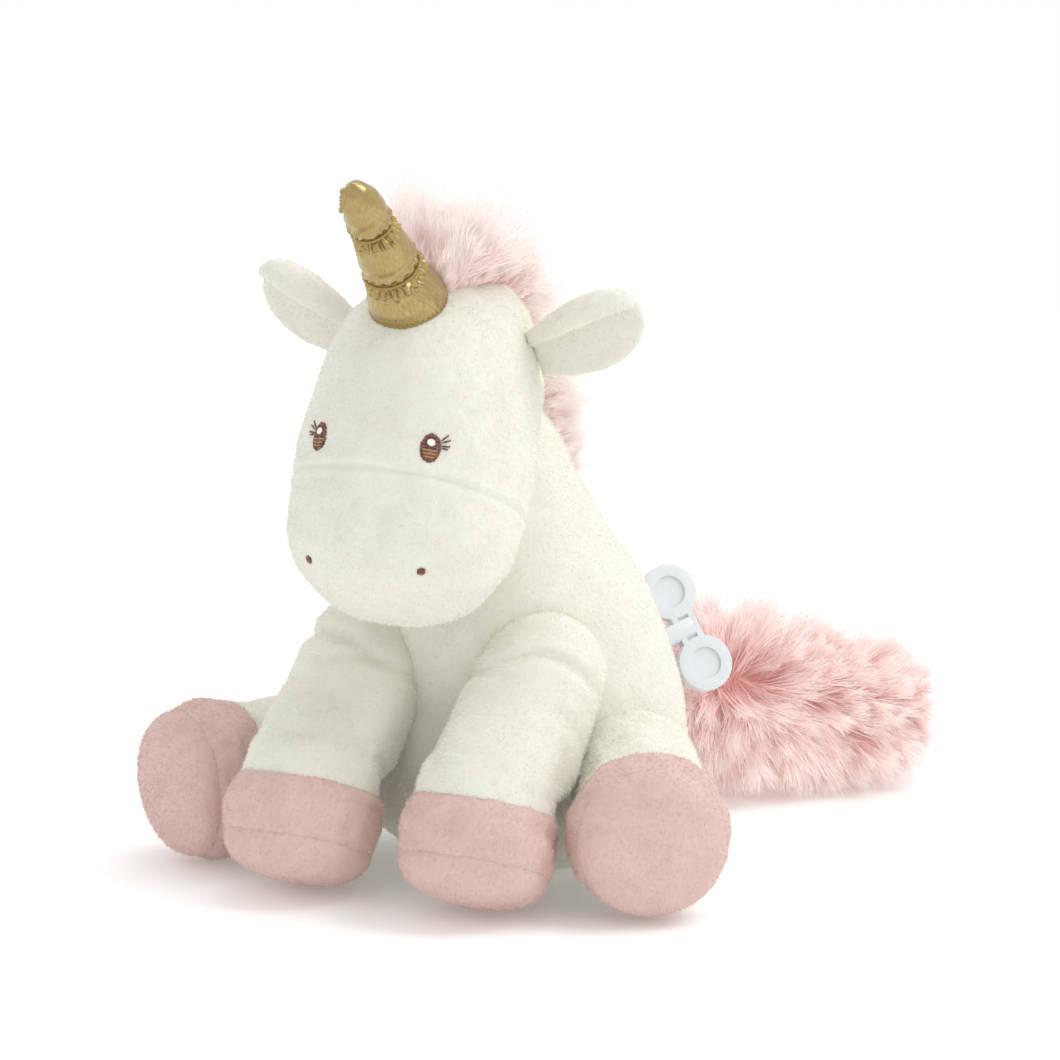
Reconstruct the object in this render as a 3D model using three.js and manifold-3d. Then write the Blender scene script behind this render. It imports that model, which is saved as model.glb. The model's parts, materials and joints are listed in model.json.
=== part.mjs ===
// Sitting plush unicorn with a wind-up key, in millimetres.
// +Z is up, -Y is the front, +X is the unicorn's left; the origin is on the floor under the torso.

import * as THREE from 'three';
import { mergeVertices } from 'three/addons/utils/BufferGeometryUtils.js';
import Module from 'manifold-3d';

const wasm = await Module();
wasm.setup();

// ---- driving dimensions ----

const gap = 0.35; // between neighbouring pieces
const plush = 2.2; // thickness of the plush skin
const around = 24; // facets round the torso and head
const legAround = 16; // facets round a leg

// torso: height, how far back its middle lies, radius
const torso = [
  [0, 2, 44], [12, 2, 54], [35, 3, 60], [58, 2, 58.5], [83, -7, 54], [105, -12, 48],
  [117, -17, 41], [130, -20, 36.5], [142, -23, 30.5], [158, -26, 27], [175.5, -28, 24],
];

// head: height, how far back its middle lies, half width, half depth
const head = [
  [102, -86, 18, 16], [106, -86.5, 26, 22], [112, -87, 32.5, 27.5], [122, -88, 39.5, 33],
  [135, -87, 43.5, 36],
  [150, -83, 43.5, 38], [165, -77, 42.5, 40], [180, -70, 39.5, 41], [195, -66, 36, 38.5], [207, -61, 30, 33],
  [216, -56, 20, 22.5],
];
const chin = [0, -86, 98];
const crown = [0, -53, 221];
const headPower = 2.15; // squareness of the head's oval
const seamFront = [-120, 164]; // the muzzle seam passes here, as Y and Z
const seamSlope = -0.53;
const neckAxisY = -26; // the head turns about this upright line
const neckTop = 177; // the neck reaches to here, inside the head

const horn = { base: [0, -86, 218], tilt: 41.2, wall: 1.8 };
const hornProfile = [ // distance up the horn, radius
  [-8, 13.2], [-2, 14.2], [4, 13.4], [10, 11.2], [15.4, 9], [18.4, 9.2], [24, 10.2], [31, 9], [37.4, 6.2],
  [41, 7], [46.5, 7.9], [52.5, 7], [58, 4.3], [60.4, 1.6],
];
const hornNecks = [[16.4, 9.2], [38.3, 6.3]]; // distance up, radius under the thread

const earRoot = [[38, -53, 182], [31, -59, 209]]; // lower and upper end of the left ear's seam
const earTip = [76, -54, 213];

// hinge and middle of the hoof on the left side, radii of the leg and the hoof, how far the foot bends down
const legs = {
  front: {
    hip: [35, -50, 78], hoof: [35.5, -98, 30.6], root: 23, end: 25.4, wide: 29, bend: 22, tilt: [-25, 0],
  },
  back: {
    hip: [46, -8, 34], hoof: [87.2, -69.5, 30.2], root: 25.2, end: 26, wide: 29.2, bend: 0, tilt: [0, 25],
  },
};
const ankleFrom = 0.5; // share of the leg's length where the bend to the foot starts
const backSpread = 38; // the back legs lift along a plane leaning outwards by this much

// tail: way of its middle line, radius with the fur
const tail = [
  [0, 60, 46, 13], [4, 71, 46, 20], [14, 86, 43, 28.5], [32, 104, 36.5, 33.5], [52, 120, 32.8, 32],
  [72, 136, 29, 28],
  [88, 148.5, 27, 21], [96, 155, 26, 13],
];
const tailTip = [100, 158, 25];
const tailHinge = [0, 62, 46];
const tailSwing = [0, 50]; // about the upright line through the hinge

// mane: root line and outer line as Y and Z, then half width
const mane = [
  [-79, 214, -80, 240, 11], [-70, 216, -72, 252, 16], [-60, 217, -61, 254, 19], [-48, 214, -46, 249, 20],
  [-36, 206, -30, 238, 19.5], [-26, 195, -12, 224, 18], [-20, 182, 2, 204, 16], [-14, 168, 14, 185, 14.5],
  [-8, 152, 24, 165, 13], [0, 138, 29, 149, 11.5], [8, 126, 28, 137, 9], [13, 119, 21, 126, 5],
];
const maneSplit = [177.3, 178.6]; // the neck strip ends at the first height, the crest starts at the second

// winding movement: the shaft leaves the back here, in this direction
const shaftOut = [31.2, 44.8, 67.5];
const shaftWay = [0.54, 0.77, 0.34];
const keyBar = [0.49, 0.04, -0.87]; // direction from one lobe of the key to the other
const caseRadius = 24;
const caseDeep = 20;
const caseSunk = 23; // the case's middle lies this far in from the surface
const caseShift = -8; // and this far up from the shaft
const shaftRadius = 2;

// ---- colours ----

const paint = (color, roughness, metalness = 0) =>
  new THREE.MeshStandardMaterial({ color, roughness, metalness });
const cream = paint('#f4f1e6', 0.95);
const pinkPlush = paint('#deb8b2', 0.95);
const paleFur = paint('#f3dedc', 0.95);
const tailFur = paint('#f0c6c0', 0.95);
const satin = paint('#c2ae7b', 0.4);
const fibre = paint('#fbfbf8', 1);
const brownThread = paint('#7a4a38', 0.7);
const whiteThread = paint('#fafaf8', 0.7);
const goldThread = paint('#8c7240', 0.6);
const whitePlastic = paint('#e4e8ea', 0.25);
const greyPlastic = paint('#9aa0a4', 0.45);
const steel = paint('#b8bcc0', 0.3, 1);
const brass = paint('#c9a24a', 0.3, 1);

// ---- making and cutting solids ----

const v = (p) => new THREE.Vector3(...p);
const unit = (p) => v(p).normalize();

function solid(geometry) {
  const bare = geometry.clone();
  for (const name of ['normal', 'uv']) bare.deleteAttribute(name);
  const merged = mergeVertices(bare, 1e-4);
  const points = merged.attributes.position.array;
  const faces = [];
  const index = merged.index.array;
  let volume = 0;
  for (let i = 0; i < index.length; i += 3) {
    const [a, b, c] = [index[i], index[i + 1], index[i + 2]];
    if (a === b || b === c || c === a) continue;
    faces.push([a, b, c]);
    const [p, q, r] = [a, b, c].map((k) => new THREE.Vector3().fromArray(points, 3 * k));
    volume += p.dot(q.cross(r));
  }
  const turned = volume < 0 ? faces.map(([a, b, c]) => [a, c, b]) : faces;
  return new wasm.Manifold(new wasm.Mesh({
    numProp: 3, vertProperties: new Float32Array(points), triVerts: new Uint32Array(turned.flat()),
  }));
}

function geometryOf(body) {
  const mesh = body.getMesh();
  const geometry = new THREE.BufferGeometry();
  geometry.setAttribute('position', new THREE.BufferAttribute(new Float32Array(mesh.vertProperties), 3));
  geometry.setIndex(new THREE.BufferAttribute(new Uint32Array(mesh.triVerts), 1));
  geometry.computeVertexNormals();
  return geometry;
}

const largest = (body) => body.decompose().sort((a, b) => b.volume() - a.volume())[0];
const placed = (body, group) => {
  group.updateWorldMatrix(true, false);
  return body.transform(group.matrixWorld.elements);
};
const joined = (bodies) => bodies.reduce((sum, body) => sum.add(body));
const lathe = (points, facets) =>
  solid(new THREE.LatheGeometry(points.map(([r, z]) => new THREE.Vector2(r, z)), facets)
    .rotateX(Math.PI / 2));
const drum = (radius, from, to, facets = 28) =>
  solid(new THREE.CylinderGeometry(radius, radius, to - from, facets)
    .rotateX(Math.PI / 2).translate(0, 0, (from + to) / 2));
const block = (size, at) => solid(new THREE.BoxGeometry(...size).translate(...at));
const ball = (radius, at, facets = 24) =>
  solid(new THREE.SphereGeometry(radius, facets, facets / 2).translate(...at));

// skin through rings of points; each end closes on its tip, on the middle of its ring, or by a strip across it
function loft(rings, startTip, endTip, strips = false) {
  const count = rings[0].length;
  const middle = (ring) => ring.reduce((sum, p) => sum.add(p), new THREE.Vector3()).divideScalar(count);
  const tips = strips ? [] : [startTip ?? middle(rings[0]), endTip ?? middle(rings.at(-1))];
  const points = [...rings.flat(), ...tips];
  const faces = [];
  const at = (ring, i) => ring * count + (i % count);
  const last = rings.length - 1;
  for (let i = 0; i < count; i++) {
    for (let ring = 0; ring < last; ring++) {
      faces.push(at(ring, i), at(ring, i + 1), at(ring + 1, i + 1));
      faces.push(at(ring, i), at(ring + 1, i + 1), at(ring + 1, i));
    }
    if (!strips) {
      faces.push(points.length - 2, at(0, i + 1), at(0, i));
      faces.push(points.length - 1, at(last, i), at(last, i + 1));
    }
  }
  for (let i = 0; strips && i < count / 2 - 1; i++) {
    const [far, near] = [i, count - 1 - i];
    faces.push(at(0, far), at(0, near), at(0, near - 1), at(0, far), at(0, near - 1), at(0, far + 1));
    faces.push(at(last, far), at(last, near - 1), at(last, near));
    faces.push(at(last, far), at(last, far + 1), at(last, near - 1));
  }
  const geometry = new THREE.BufferGeometry().setFromPoints(points);
  geometry.setIndex(faces);
  return solid(geometry);
}

// oval ring about a middle, with half sizes a along one axis and b along another
function oval(middle, aWay, bWay, a, b, count, power = 2) {
  return Array.from({ length: count }, (_, i) => {
    const turn = (2 * Math.PI * i) / count;
    const bend = (x) => Math.sign(x) * Math.abs(x) ** (2 / power);
    const [u, w] = [a * bend(Math.cos(turn)), b * bend(Math.sin(turn))];
    return middle.clone().addScaledVector(aWay, u).addScaledVector(bWay, w);
  });
}

const xWay = v([1, 0, 0]);
const yWay = v([0, 1, 0]);
const zWay = v([0, 0, 1]);

// ---- object ----

const object = new THREE.Group();

function part(name, body, finish, parent = object) {
  const mesh = new THREE.Mesh(geometryOf(body), finish);
  mesh.name = name;
  parent.add(mesh);
}

// group with its origin at a point, its own Z along one direction and its own X near another
function frameAt(origin, zAlong, xNear) {
  const z = unit(zAlong);
  const x = unit(xNear).addScaledVector(z, -z.dot(unit(xNear))).normalize();
  const group = new THREE.Group();
  group.position.set(...origin);
  group.quaternion.setFromRotationMatrix(new THREE.Matrix4().makeBasis(x, z.clone().cross(x), z));
  object.add(group);
  return group;
}

// ---- torso and head forms, grown outwards or shrunk by any amount ----

function torsoForm(grow, low = 0, high = 0, facets = around) {
  const rings = torso.map(([z, y, r]) => [z, y, r + grow]);
  rings[0][0] -= low;
  rings.at(-1)[0] += high;
  return loft(rings.map(([z, y, r]) => oval(v([0, y, z]), xWay, yWay, r, r, facets)));
}

function headForm(grow) {
  const rings = head.map(([z, y, a, b]) => {
    const high = (z - 160) / 60;
    return oval(v([0, y, z + grow * high]), xWay, yWay, a + grow, b + grow, around, headPower);
  });
  return loft(rings, v(chin).addScaledVector(zWay, -grow), v(crown).addScaledVector(zWay, grow));
}

// room that the neck needs inside the turning head: a lathe about the neck's axis
const neckRoom = (grow) => lathe([
  [0, 90], [46 + grow, 90], [43.5 + grow, 104], [38.6 + grow, 118], [35.4 + grow, 131], [30.8 + grow, 143],
  [28 + grow, 158], [25.6 + grow, neckTop - 1 + grow], [0, neckTop - 1 + grow],
], 40).translate([0, neckAxisY, 0]);

// ---- legs ----

function legProfile(leg, long, grow) {
  const points = [];
  for (let turn = -90; turn <= 0; turn += 22.5) {
    const a = THREE.MathUtils.degToRad(turn);
    points.push([(leg.root + grow) * Math.cos(a), (leg.root + grow) * Math.sin(a)]);
  }
  points[0][0] = 0;
  points.push([leg.root + 0.6 + grow, long * 0.22], [(leg.root + leg.end) / 2 + grow, long * 0.5]);
  if (leg.bend) points.push([leg.end - 0.6 + grow, long * 0.63], [leg.end - 0.2 + grow, long * 0.75]);
  points.push([leg.end + grow, long - hoofSeam - gap]);
  return points;
}

const hoofSeam = 8.6; // the hoof starts this far before its middle
const hoofProfile = (leg, grow) => [
  [leg.wide - 3.2 + grow, -hoofSeam], [leg.wide - 1 + grow, -5], [leg.wide + grow, 1],
  [leg.wide + 0.3 + grow, 7], [leg.wide - 1.7 + grow, 13],
];

// turns the end of a leg down about the hoof's middle, more and more from the ankle to the hoof's seam
function footBent(body, leg, long) {
  if (!leg.bend) return body;
  const from = long * ankleFrom;
  const to = long - hoofSeam - gap;
  return body.warp((p) => {
    const angle = THREE.MathUtils.degToRad(leg.bend) * THREE.MathUtils.smoothstep(p[2], from, to);
    const [x, z] = [p[0], p[2] - long];
    p[0] = x * Math.cos(angle) - z * Math.sin(angle);
    p[2] = long + x * Math.sin(angle) + z * Math.cos(angle);
  });
}

const sockets = []; // room in the torso for every leg, over its whole movement

function makeLeg(which, side) {
  const leg = legs[which];
  const flip = side === 'left' ? 1 : -1;
  const mirror = ([x, y, z]) => [x * flip, y, z];
  const way = v(mirror(leg.hoof)).sub(v(mirror(leg.hip)));
  const long = way.length();
  const group = frameAt(mirror(leg.hip), way.toArray(), [0, 0, 1]);
  const name = `${which}_leg_${side}`;
  const turned = (points, facets = legAround) => footBent(lathe(points, facets), leg, long);

  const outer = legProfile(leg, long, 0);
  const inner = legProfile(leg, long, -plush);
  part(`${name}_cover`, turned([...outer, ...inner.toReversed()]), cream, group);

  const up = ([r, z]) => [r, z + long];
  const hoofOuter = hoofProfile(leg, 0).map(up);
  const hoofInner = hoofProfile(leg, -plush).map(up);
  const hoof = turned([...hoofOuter, ...hoofInner.toReversed(), hoofOuter[0]]);
  part(`${which}_hoof_${side}`, hoof, pinkPlush, group);

  const rim = leg.wide - 1.9;
  const soleSeam = 13 + gap;
  part(`${which}_sole_${side}`, turned([
    [0, 27], [rim * 0.45, 26.1], [rim * 0.78, 23], [rim * 0.94, 18.6], [rim, soleSeam],
    [rim - 2.2, soleSeam], [rim * 0.94 - 2.3, 17.8], [rim * 0.78 - 1.6, 21], [rim * 0.42, 23.9], [0, 24.8],
  ].map(up)), pinkPlush, group);

  const wadGrow = -plush - 2 * gap;
  const wadEnd = [[rim - 5.5, 17.2], [rim * 0.62, 20.8], [0, 23.6]].map(up);
  const wad = [...legProfile(leg, long, wadGrow), ...hoofProfile(leg, wadGrow).map(up), ...wadEnd];
  part(`${name}_stuffing`, turned(wad, legAround - 4), fibre, group);

  // the socket holds the leg at every angle of its joint: a ball about the hinge and a cone at each end
  sockets.push(ball(leg.root + 2.4, mirror(leg.hip), 12));
  leg.tilt.forEach((angle, i) => {
    const thigh = leg.root + 2.2 + 0.17 * i;
    const cone = lathe([[0, 1.5 * i], [thigh, 1.5 * i], [thigh + 0.8, 36 + 2 * i], [0, 36 + 2 * i]], 12);
    const swung = new THREE.Group();
    const turn = new THREE.Quaternion();
    turn.setFromAxisAngle(legAxis(which, side), THREE.MathUtils.degToRad(angle));
    swung.position.copy(group.position);
    swung.quaternion.copy(turn.multiply(group.quaternion));
    sockets.push(placed(cone, swung));
  });
}

// the front legs swing forwards about X; the back legs lift along a plane that leans outwards
function legAxis(which, side) {
  if (which === 'front') return xWay;
  const flip = side === 'left' ? 1 : -1;
  const [dx, dy] = [0, 1].map((k) => legs.back.hoof[k] - legs.back.hip[k]);
  const along = unit([dx * flip, dy, 0]);
  const outwards = unit([-dy * flip, dx, 0]);
  const lean = THREE.MathUtils.degToRad(backSpread);
  const lifted = zWay.clone().multiplyScalar(Math.cos(lean)).addScaledVector(outwards, Math.sin(lean));
  return along.cross(lifted);
}

for (const which of ['front', 'back']) for (const side of ['left', 'right']) makeLeg(which, side);

// ---- tail ----

function tailForm(scale, grow, rings, facets) {
  return loft(rings.map(([x, y, z, r], i) => {
    const [before, after] = [rings[Math.max(i - 1, 0)], rings[Math.min(i + 1, rings.length - 1)]];
    const way = v(after.slice(0, 3)).sub(v(before.slice(0, 3))).normalize();
    const side = zWay.clone().cross(way).normalize();
    return oval(v([x, y, z]), side, way.clone().cross(side), r * scale + grow, r * scale + grow, facets);
  }), undefined, scale === 1 ? v(tailTip) : undefined);
}

const tailCore = tailForm(0.45, 0, tail.slice(0, 7), 12).add(ball(8.5, tailHinge, 14));
part('tail_core', tailCore, fibre);
const coreRoom = tailForm(0.45, gap, tail.slice(0, 7), 12).add(ball(8.5 + gap, tailHinge, 14));
const tailOuter = tailForm(1, 0, tail.slice(1), 18);
const bodyPath = [0, 0.25, 0.5, 0.75, 1].map((share) => { // the torso as the swinging tail sees it
  const turn = new THREE.Group();
  turn.rotation.z = -THREE.MathUtils.degToRad(tailSwing[0] + (tailSwing[1] - tailSwing[0]) * share);
  turn.position.copy(v(tailHinge).sub(v(tailHinge).applyEuler(turn.rotation)));
  return placed(torsoForm(1.3, 0, 0, 18), turn);
});
const furBody = tailOuter.subtract(coreRoom).subtract(ball(13.5, tailHinge, 16)).subtract(joined(bodyPath));
const tailRoom = ball(10, tailHinge, 16);

// ---- winding movement, in a frame whose Z runs out along the shaft ----

const works = frameAt(shaftOut, shaftWay, keyBar.map((k) => -k));
const caseMid = -caseSunk;
const inside = caseRadius - 2;
const [low, high] = [caseMid - caseDeep / 2, caseMid + caseDeep / 2];
const shifted = (body) => body.translate([-caseShift, 0, 0]); // case centre, measured from the shaft

const caseBack = drum(caseRadius, low, high - 2 - gap, 28).subtract(drum(inside, low + 2, high, 28));
part('case_back', shifted(caseBack), whitePlastic, works);
const caseFront = drum(caseRadius, high - 2, high, 28).add(
  drum(inside - 0.6, high - 4, high - 1, 28).subtract(drum(inside - 2.4, high - 5, high - 2, 28)));
part('case_front', shifted(caseFront).subtract(drum(shaftRadius + 0.6, low, high + 1)), whitePlastic, works);

const plate = drum(inside - 0.5, low + 2 + gap, low + 3.6, 24);
part('bedplate', shifted(plate).subtract(drum(shaftRadius + 0.5, low, high)), steel, works);

const floorOf = low + 3.6 + gap; // pieces stand on the bedplate
const barrel = 8.6;
const cup = drum(barrel, floorOf, floorOf + 5.6).subtract(drum(barrel - 1, floorOf + 1, floorOf + 8));
part('spring_cup', cup.subtract(drum(shaftRadius + 0.5, floorOf - 1, floorOf + 2)), brass, works);

// the mainspring is a flat spiral of steel strip round the shaft
function spiral(from, to, turns, thick, tall) {
  const steps = turns * 14;
  const edge = (offset) => Array.from({ length: steps + 1 }, (_, i) => {
    const a = (2 * Math.PI * turns * i) / steps;
    const r = from + ((to - from) * i) / steps + offset;
    return new THREE.Vector2(r * Math.cos(a), r * Math.sin(a));
  });
  const outline = new THREE.Shape([...edge(thick / 2), ...edge(-thick / 2).toReversed()]);
  return solid(new THREE.ExtrudeGeometry(outline, { depth: tall, bevelEnabled: false }));
}
part('mainspring', spiral(3.2, 6.7, 3, 0.5, 3.6).translate([0, 0, floorOf + 1.5]), steel, works);

function gear(radius, teeth, tall) {
  const outline = new THREE.Shape(Array.from({ length: teeth * 4 }, (_, i) => {
    const r = i % 4 < 2 ? radius : radius - 1.1;
    const a = (2 * Math.PI * (i + 0.5)) / (teeth * 4);
    return new THREE.Vector2(r * Math.cos(a), r * Math.sin(a));
  }));
  return solid(new THREE.ExtrudeGeometry(outline, { depth: tall, bevelEnabled: false }));
}
const gearAt = floorOf + 6.1;
part('great_gear', gear(barrel + 0.8, 20, 1.4).translate([0, 0, gearAt])
  .subtract(drum(shaftRadius + gap, gearAt - 1, gearAt + 3)), brass, works);
const shaftEnd = 11;
part('winding_shaft', drum(shaftRadius, low + 3, shaftEnd, 20), steel, works);

// pinned cylinder, lying along X away from the gear
const cylinderAt = { from: 11.6, to: 27, radius: 3.4, z: floorOf + 4.6 };
const alongX = (radius, from, to, z, y = 0, facets = 20) =>
  solid(new THREE.CylinderGeometry(radius, radius, to - from, facets)
    .rotateZ(Math.PI / 2).translate((from + to) / 2, y, z));
const pins = [];
for (let i = 0; i < 7; i++) {
  const pin = new THREE.CylinderGeometry(0.3, 0.3, 1, 6).translate(0, cylinderAt.radius, 0)
    .rotateX(i * 2.4).translate(cylinderAt.from + 1.6 + i * 2, 0, cylinderAt.z);
  pins.push(solid(pin));
}
const pinned = joined([alongX(cylinderAt.radius, cylinderAt.from, cylinderAt.to, cylinderAt.z),
  alongX(1, cylinderAt.from - 1, cylinderAt.to + 1, cylinderAt.z), ...pins]);
part('pinned_cylinder', pinned, brass, works);

const combPlate = block([12, 7.5, 1.4], [19, 9.6, cylinderAt.z - 0.2]);
const slots = [];
for (let i = 0; i < 9; i++) slots.push(block([0.5, 4, 3], [13.9 + i * 1.28, 7, cylinderAt.z]));
const combUnder = cylinderAt.z - 0.9;
const combFoot = block([12, 3.4, combUnder - floorOf], [19, 11.4, (floorOf + combUnder) / 2]);
const screwAt = [15, 23];
const screwHole = drum(0.9, floorOf + 0.5, cylinderAt.z + 3, 14);
const screwHoles = joined(screwAt.map((x) => screwHole.translate([x, 11.4, 0])));
part('comb', combPlate.add(combFoot).subtract(joined(slots)).subtract(screwHoles)
  .subtract(alongX(cylinderAt.radius + 1, 8, 30, cylinderAt.z)), steel, works);
screwAt.forEach((x, i) => {
  const shank = drum(0.6, floorOf + 1, cylinderAt.z + 1.4, 12);
  const screw = shank.add(drum(1.4, cylinderAt.z + 0.85, cylinderAt.z + 1.9, 16));
  part(`comb_screw_${i + 1}`, screw.translate([x, 11.4, 0]), steel, works);
});

// governor: an upright arbor with two wings, in a U bracket beside the cylinder
const fanAt = [18.5, -10.8];
const governor = drum(0.7, floorOf + 1.6, floorOf + 10.2, 14)
  .add(block([9, 0.8, 3.4], [0, 0, floorOf + 6.4])).add(drum(1.8, floorOf + 2.4, floorOf + 3.6, 18));
part('governor_fan', governor.translate([...fanAt, 0]), brass, works);
const bracket = block([11, 4, 11.4], [0, 0, floorOf + 5.7]).subtract(block([9.8, 6, 9], [0, 0, floorOf + 5.8]))
  .subtract(drum(1, floorOf - 1, floorOf + 12, 14));
part('governor_bracket', bracket.translate([...fanAt, 0]), steel, works);

// key: two round lobes on a bar, in a plane that holds the shaft
const key = { lobe: 10.4, apart: 14.8, thick: 5, out: 16.6, recess: 6, deep: 1.1 };
const flatDrum = (radius, x, thick, facets = 26) =>
  solid(new THREE.CylinderGeometry(radius, radius, thick, facets).translate(x, 0, key.out));
const lobes = joined([-1, 1].map((s) => flatDrum(key.lobe, s * key.apart, key.thick)));
const dishes = joined([-1, 1].flatMap((s) => [-1, 1].map((f) =>
  flatDrum(key.recess, s * key.apart, 2, 20).translate([0, f * (key.thick / 2 + 1 - key.deep), 0]))));
const bar = block([22, key.thick, 9], [0, 0, key.out]).subtract(
  joined([-1, 1].map((f) => block([12, 2, 4.4], [0, f * (key.thick / 2 + 1 - key.deep), key.out]))));
const hub = drum(4, 3, key.out + 2.4, 24).subtract(drum(shaftRadius + gap, 0, shaftEnd + 0.5, 20));
part('winding_key', lobes.add(bar).subtract(dishes).add(hub)
  .subtract(drum(shaftRadius + gap, 0, shaftEnd + 0.5, 20)), whitePlastic, works);

// the fur parts round the turning key
const keyReach = key.lobe + 1.2;
const keyRoom = placed(drum(key.apart + keyReach, key.out - keyReach, key.out + keyReach), works);
part('tail_fur', largest(furBody.subtract(keyRoom)), tailFur);

const collar = drum(6.4, -2.2, 2).subtract(drum(shaftRadius + 0.8, -5, 5));
const outside = torsoForm(gap);
part('key_collar', largest(placed(collar, works).subtract(outside)), whitePlastic);

// ---- body cover and its stuffing ----

const caseRoom = placed(shifted(drum(caseRadius + 0.5, low - 0.5, high + 0.5, 20)), works);
const shaftRoom = placed(drum(3.2, low, 20, 20), works);
const legRoom = joined(sockets);
const bodyOuter = torsoForm(0);
const bodyInner = torsoForm(-plush, -plush, -plush);
const bodyCover = bodyOuter.subtract(bodyInner).subtract(legRoom).subtract(tailRoom).subtract(shaftRoom)
  .subtract(drum(12, 165, 180, 28).translate([0, -28, 0]));
part('body_cover', largest(bodyCover), cream);
const wadInner = torsoForm(-plush - 2 * gap, -plush - gap, -plush - gap, 20);
const bodyWad = [legRoom, tailRoom, caseRoom, shaftRoom].reduce((wad, room) => wad.subtract(room), wadInner);
part('body_stuffing', largest(bodyWad), fibre);

// ---- head ----

const slopeAngle = Math.atan(seamSlope);
const belowSeam = (drop) => solid(new THREE.BoxGeometry(200, 400, 200).translate(0, 0, -100 - drop)
  .rotateX(slopeAngle).translate(0, ...seamFront));
const hornGroup = frameAt(horn.base, [0, -Math.sin(THREE.MathUtils.degToRad(horn.tilt)),
  Math.cos(THREE.MathUtils.degToRad(horn.tilt))], [1, 0, 0]);

const earWay = v(earRoot[1]).sub(v(earRoot[0]));
const earMid = v(earRoot[0]).addScaledVector(earWay, 0.5);
const earSlot = (side) => {
  const flip = side === 'left' ? 1 : -1;
  const slot = new THREE.Group();
  slot.position.set(earMid.x * flip, earMid.y, earMid.z);
  slot.quaternion.setFromUnitVectors(zWay, unit([earWay.x * flip, earWay.y, earWay.z]));
  return placed(drum(4.4, -14, 14, 20), slot);
};
const earSlots = earSlot('left').add(earSlot('right'));

const headOuter = headForm(0);
const headShell = headOuter.subtract(headForm(-plush)).subtract(neckRoom(0)).subtract(earSlots);
part('head_cover', largest(headShell.subtract(belowSeam(-gap / 2))), cream);
part('muzzle_cover', largest(headShell.intersect(belowSeam(gap / 2))), cream);
part('head_stuffing', largest(headForm(-plush - gap).subtract(neckRoom(gap)).subtract(earSlots)), fibre);

// eyes, highlights and nostrils are embroidered: thin pads that follow the head
function pad(name, middle, wide, tall, depth, finish) {
  for (const side of ['left', 'right']) {
    const flip = side === 'left' ? 1 : -1;
    const turn = Math.atan2(middle[0], 60) * flip;
    const pin = solid(new THREE.CylinderGeometry(1, 1, 30, 14).scale(wide / 2, 1, tall / 2)
      .rotateZ(turn).translate(middle[0] * flip, middle[1], middle[2]));
    part(`${name}_${side}`, largest(pin.intersect(headForm(depth[1])).subtract(headForm(depth[0]))), finish);
  }
}
pad('eye', [22.2, -110, 170], 8, 10.8, [gap, 1.3], brownThread);
pad('eye_highlight', [21.6, -110, 172.4], 2.8, 3, [1.3 + gap, 2.2], whiteThread);
pad('nostril', [22.4, -117.5, 127], 3.8, 3.8, [gap, 1.3], brownThread);

// ---- horn ----

const hornCurve = hornProfile.map(([z, r]) => [r, z]);
const hornOuter = lathe([[0, -8], ...hornCurve, [0, 61.2]], 16);
const hornInner = lathe([[0, -10], [hornProfile[0][1] - horn.wall, -10],
  ...hornCurve.slice(0, -1).map(([r, z]) => [r - horn.wall, z]), [0, 59]], 16);
const headNear = headForm(gap);
const inHornFrame = (body) => body.transform(hornGroup.matrixWorld.clone().invert().elements);
hornGroup.updateWorldMatrix(true, false);
const headForHorn = inHornFrame(headNear);
part('horn_cover', largest(hornOuter.subtract(hornInner).subtract(headForHorn)), satin, hornGroup);
const hornWad = lathe([[0, -10], [hornProfile[0][1] - horn.wall - gap, -10],
  ...hornCurve.slice(0, -2).map(([r, z]) => [r - horn.wall - gap, z]), [0, 54.5]], 14);
part('horn_stuffing', largest(hornWad.subtract(headForHorn)), fibre, hornGroup);
hornNecks.forEach(([z, r], i) => {
  const loop = new THREE.TorusGeometry(r + gap + 0.8, 0.7, 6, 18).translate(0, 0, z);
  part(`horn_thread_${i + 1}`, solid(loop), goldThread, hornGroup);
});

// ---- mane ----

const maneRings = mane.map(([rootY, rootZ, outY, outZ, half]) => {
  const [root, out] = [v([0, rootY, rootZ]), v([0, outY, outZ])];
  const middle = root.clone().add(out).multiplyScalar(0.5);
  return oval(middle, xWay, out.clone().sub(root).normalize(), half, out.distanceTo(root) / 2, 14, 2.3);
});
const maneForm = loft(maneRings).subtract(placed(hornOuter.add(hornWad), hornGroup)).subtract(headNear)
  .subtract(outside);
part('mane_neck', largest(maneForm.intersect(block([80, 120, 100], [0, 0, maneSplit[0] - 50]))), paleFur);
const aboveNeck = block([80, 160, 120], [0, -40, maneSplit[1] + 60]);
part('mane_crest', largest(maneForm.intersect(aboveNeck)), paleFur);

// ---- ears ----

// one layer of an ear: a hooked section that thins at both edges, pinched at the root
const earHook = [[0.6, -14], [2.2, -8], [3, -1.5], [2.4, 5], [0.4, 9.6], [-3.2, 11.2], [-6.4, 9], [-7.6, 4.2]];
const earAlong = [ // distance from the root, width scale, thickness scale, rise of the middle
  [0, 0.62, 0.28, 0], [5, 0.72, 0.55, 0.6], [12, 0.88, 0.85, 1.6], [22, 1, 1, 3.2], [31, 0.96, 0.95, 4.8],
  [38, 0.74, 0.7, 6], [42.4, 0.4, 0.42, 6.8],
];

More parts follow.
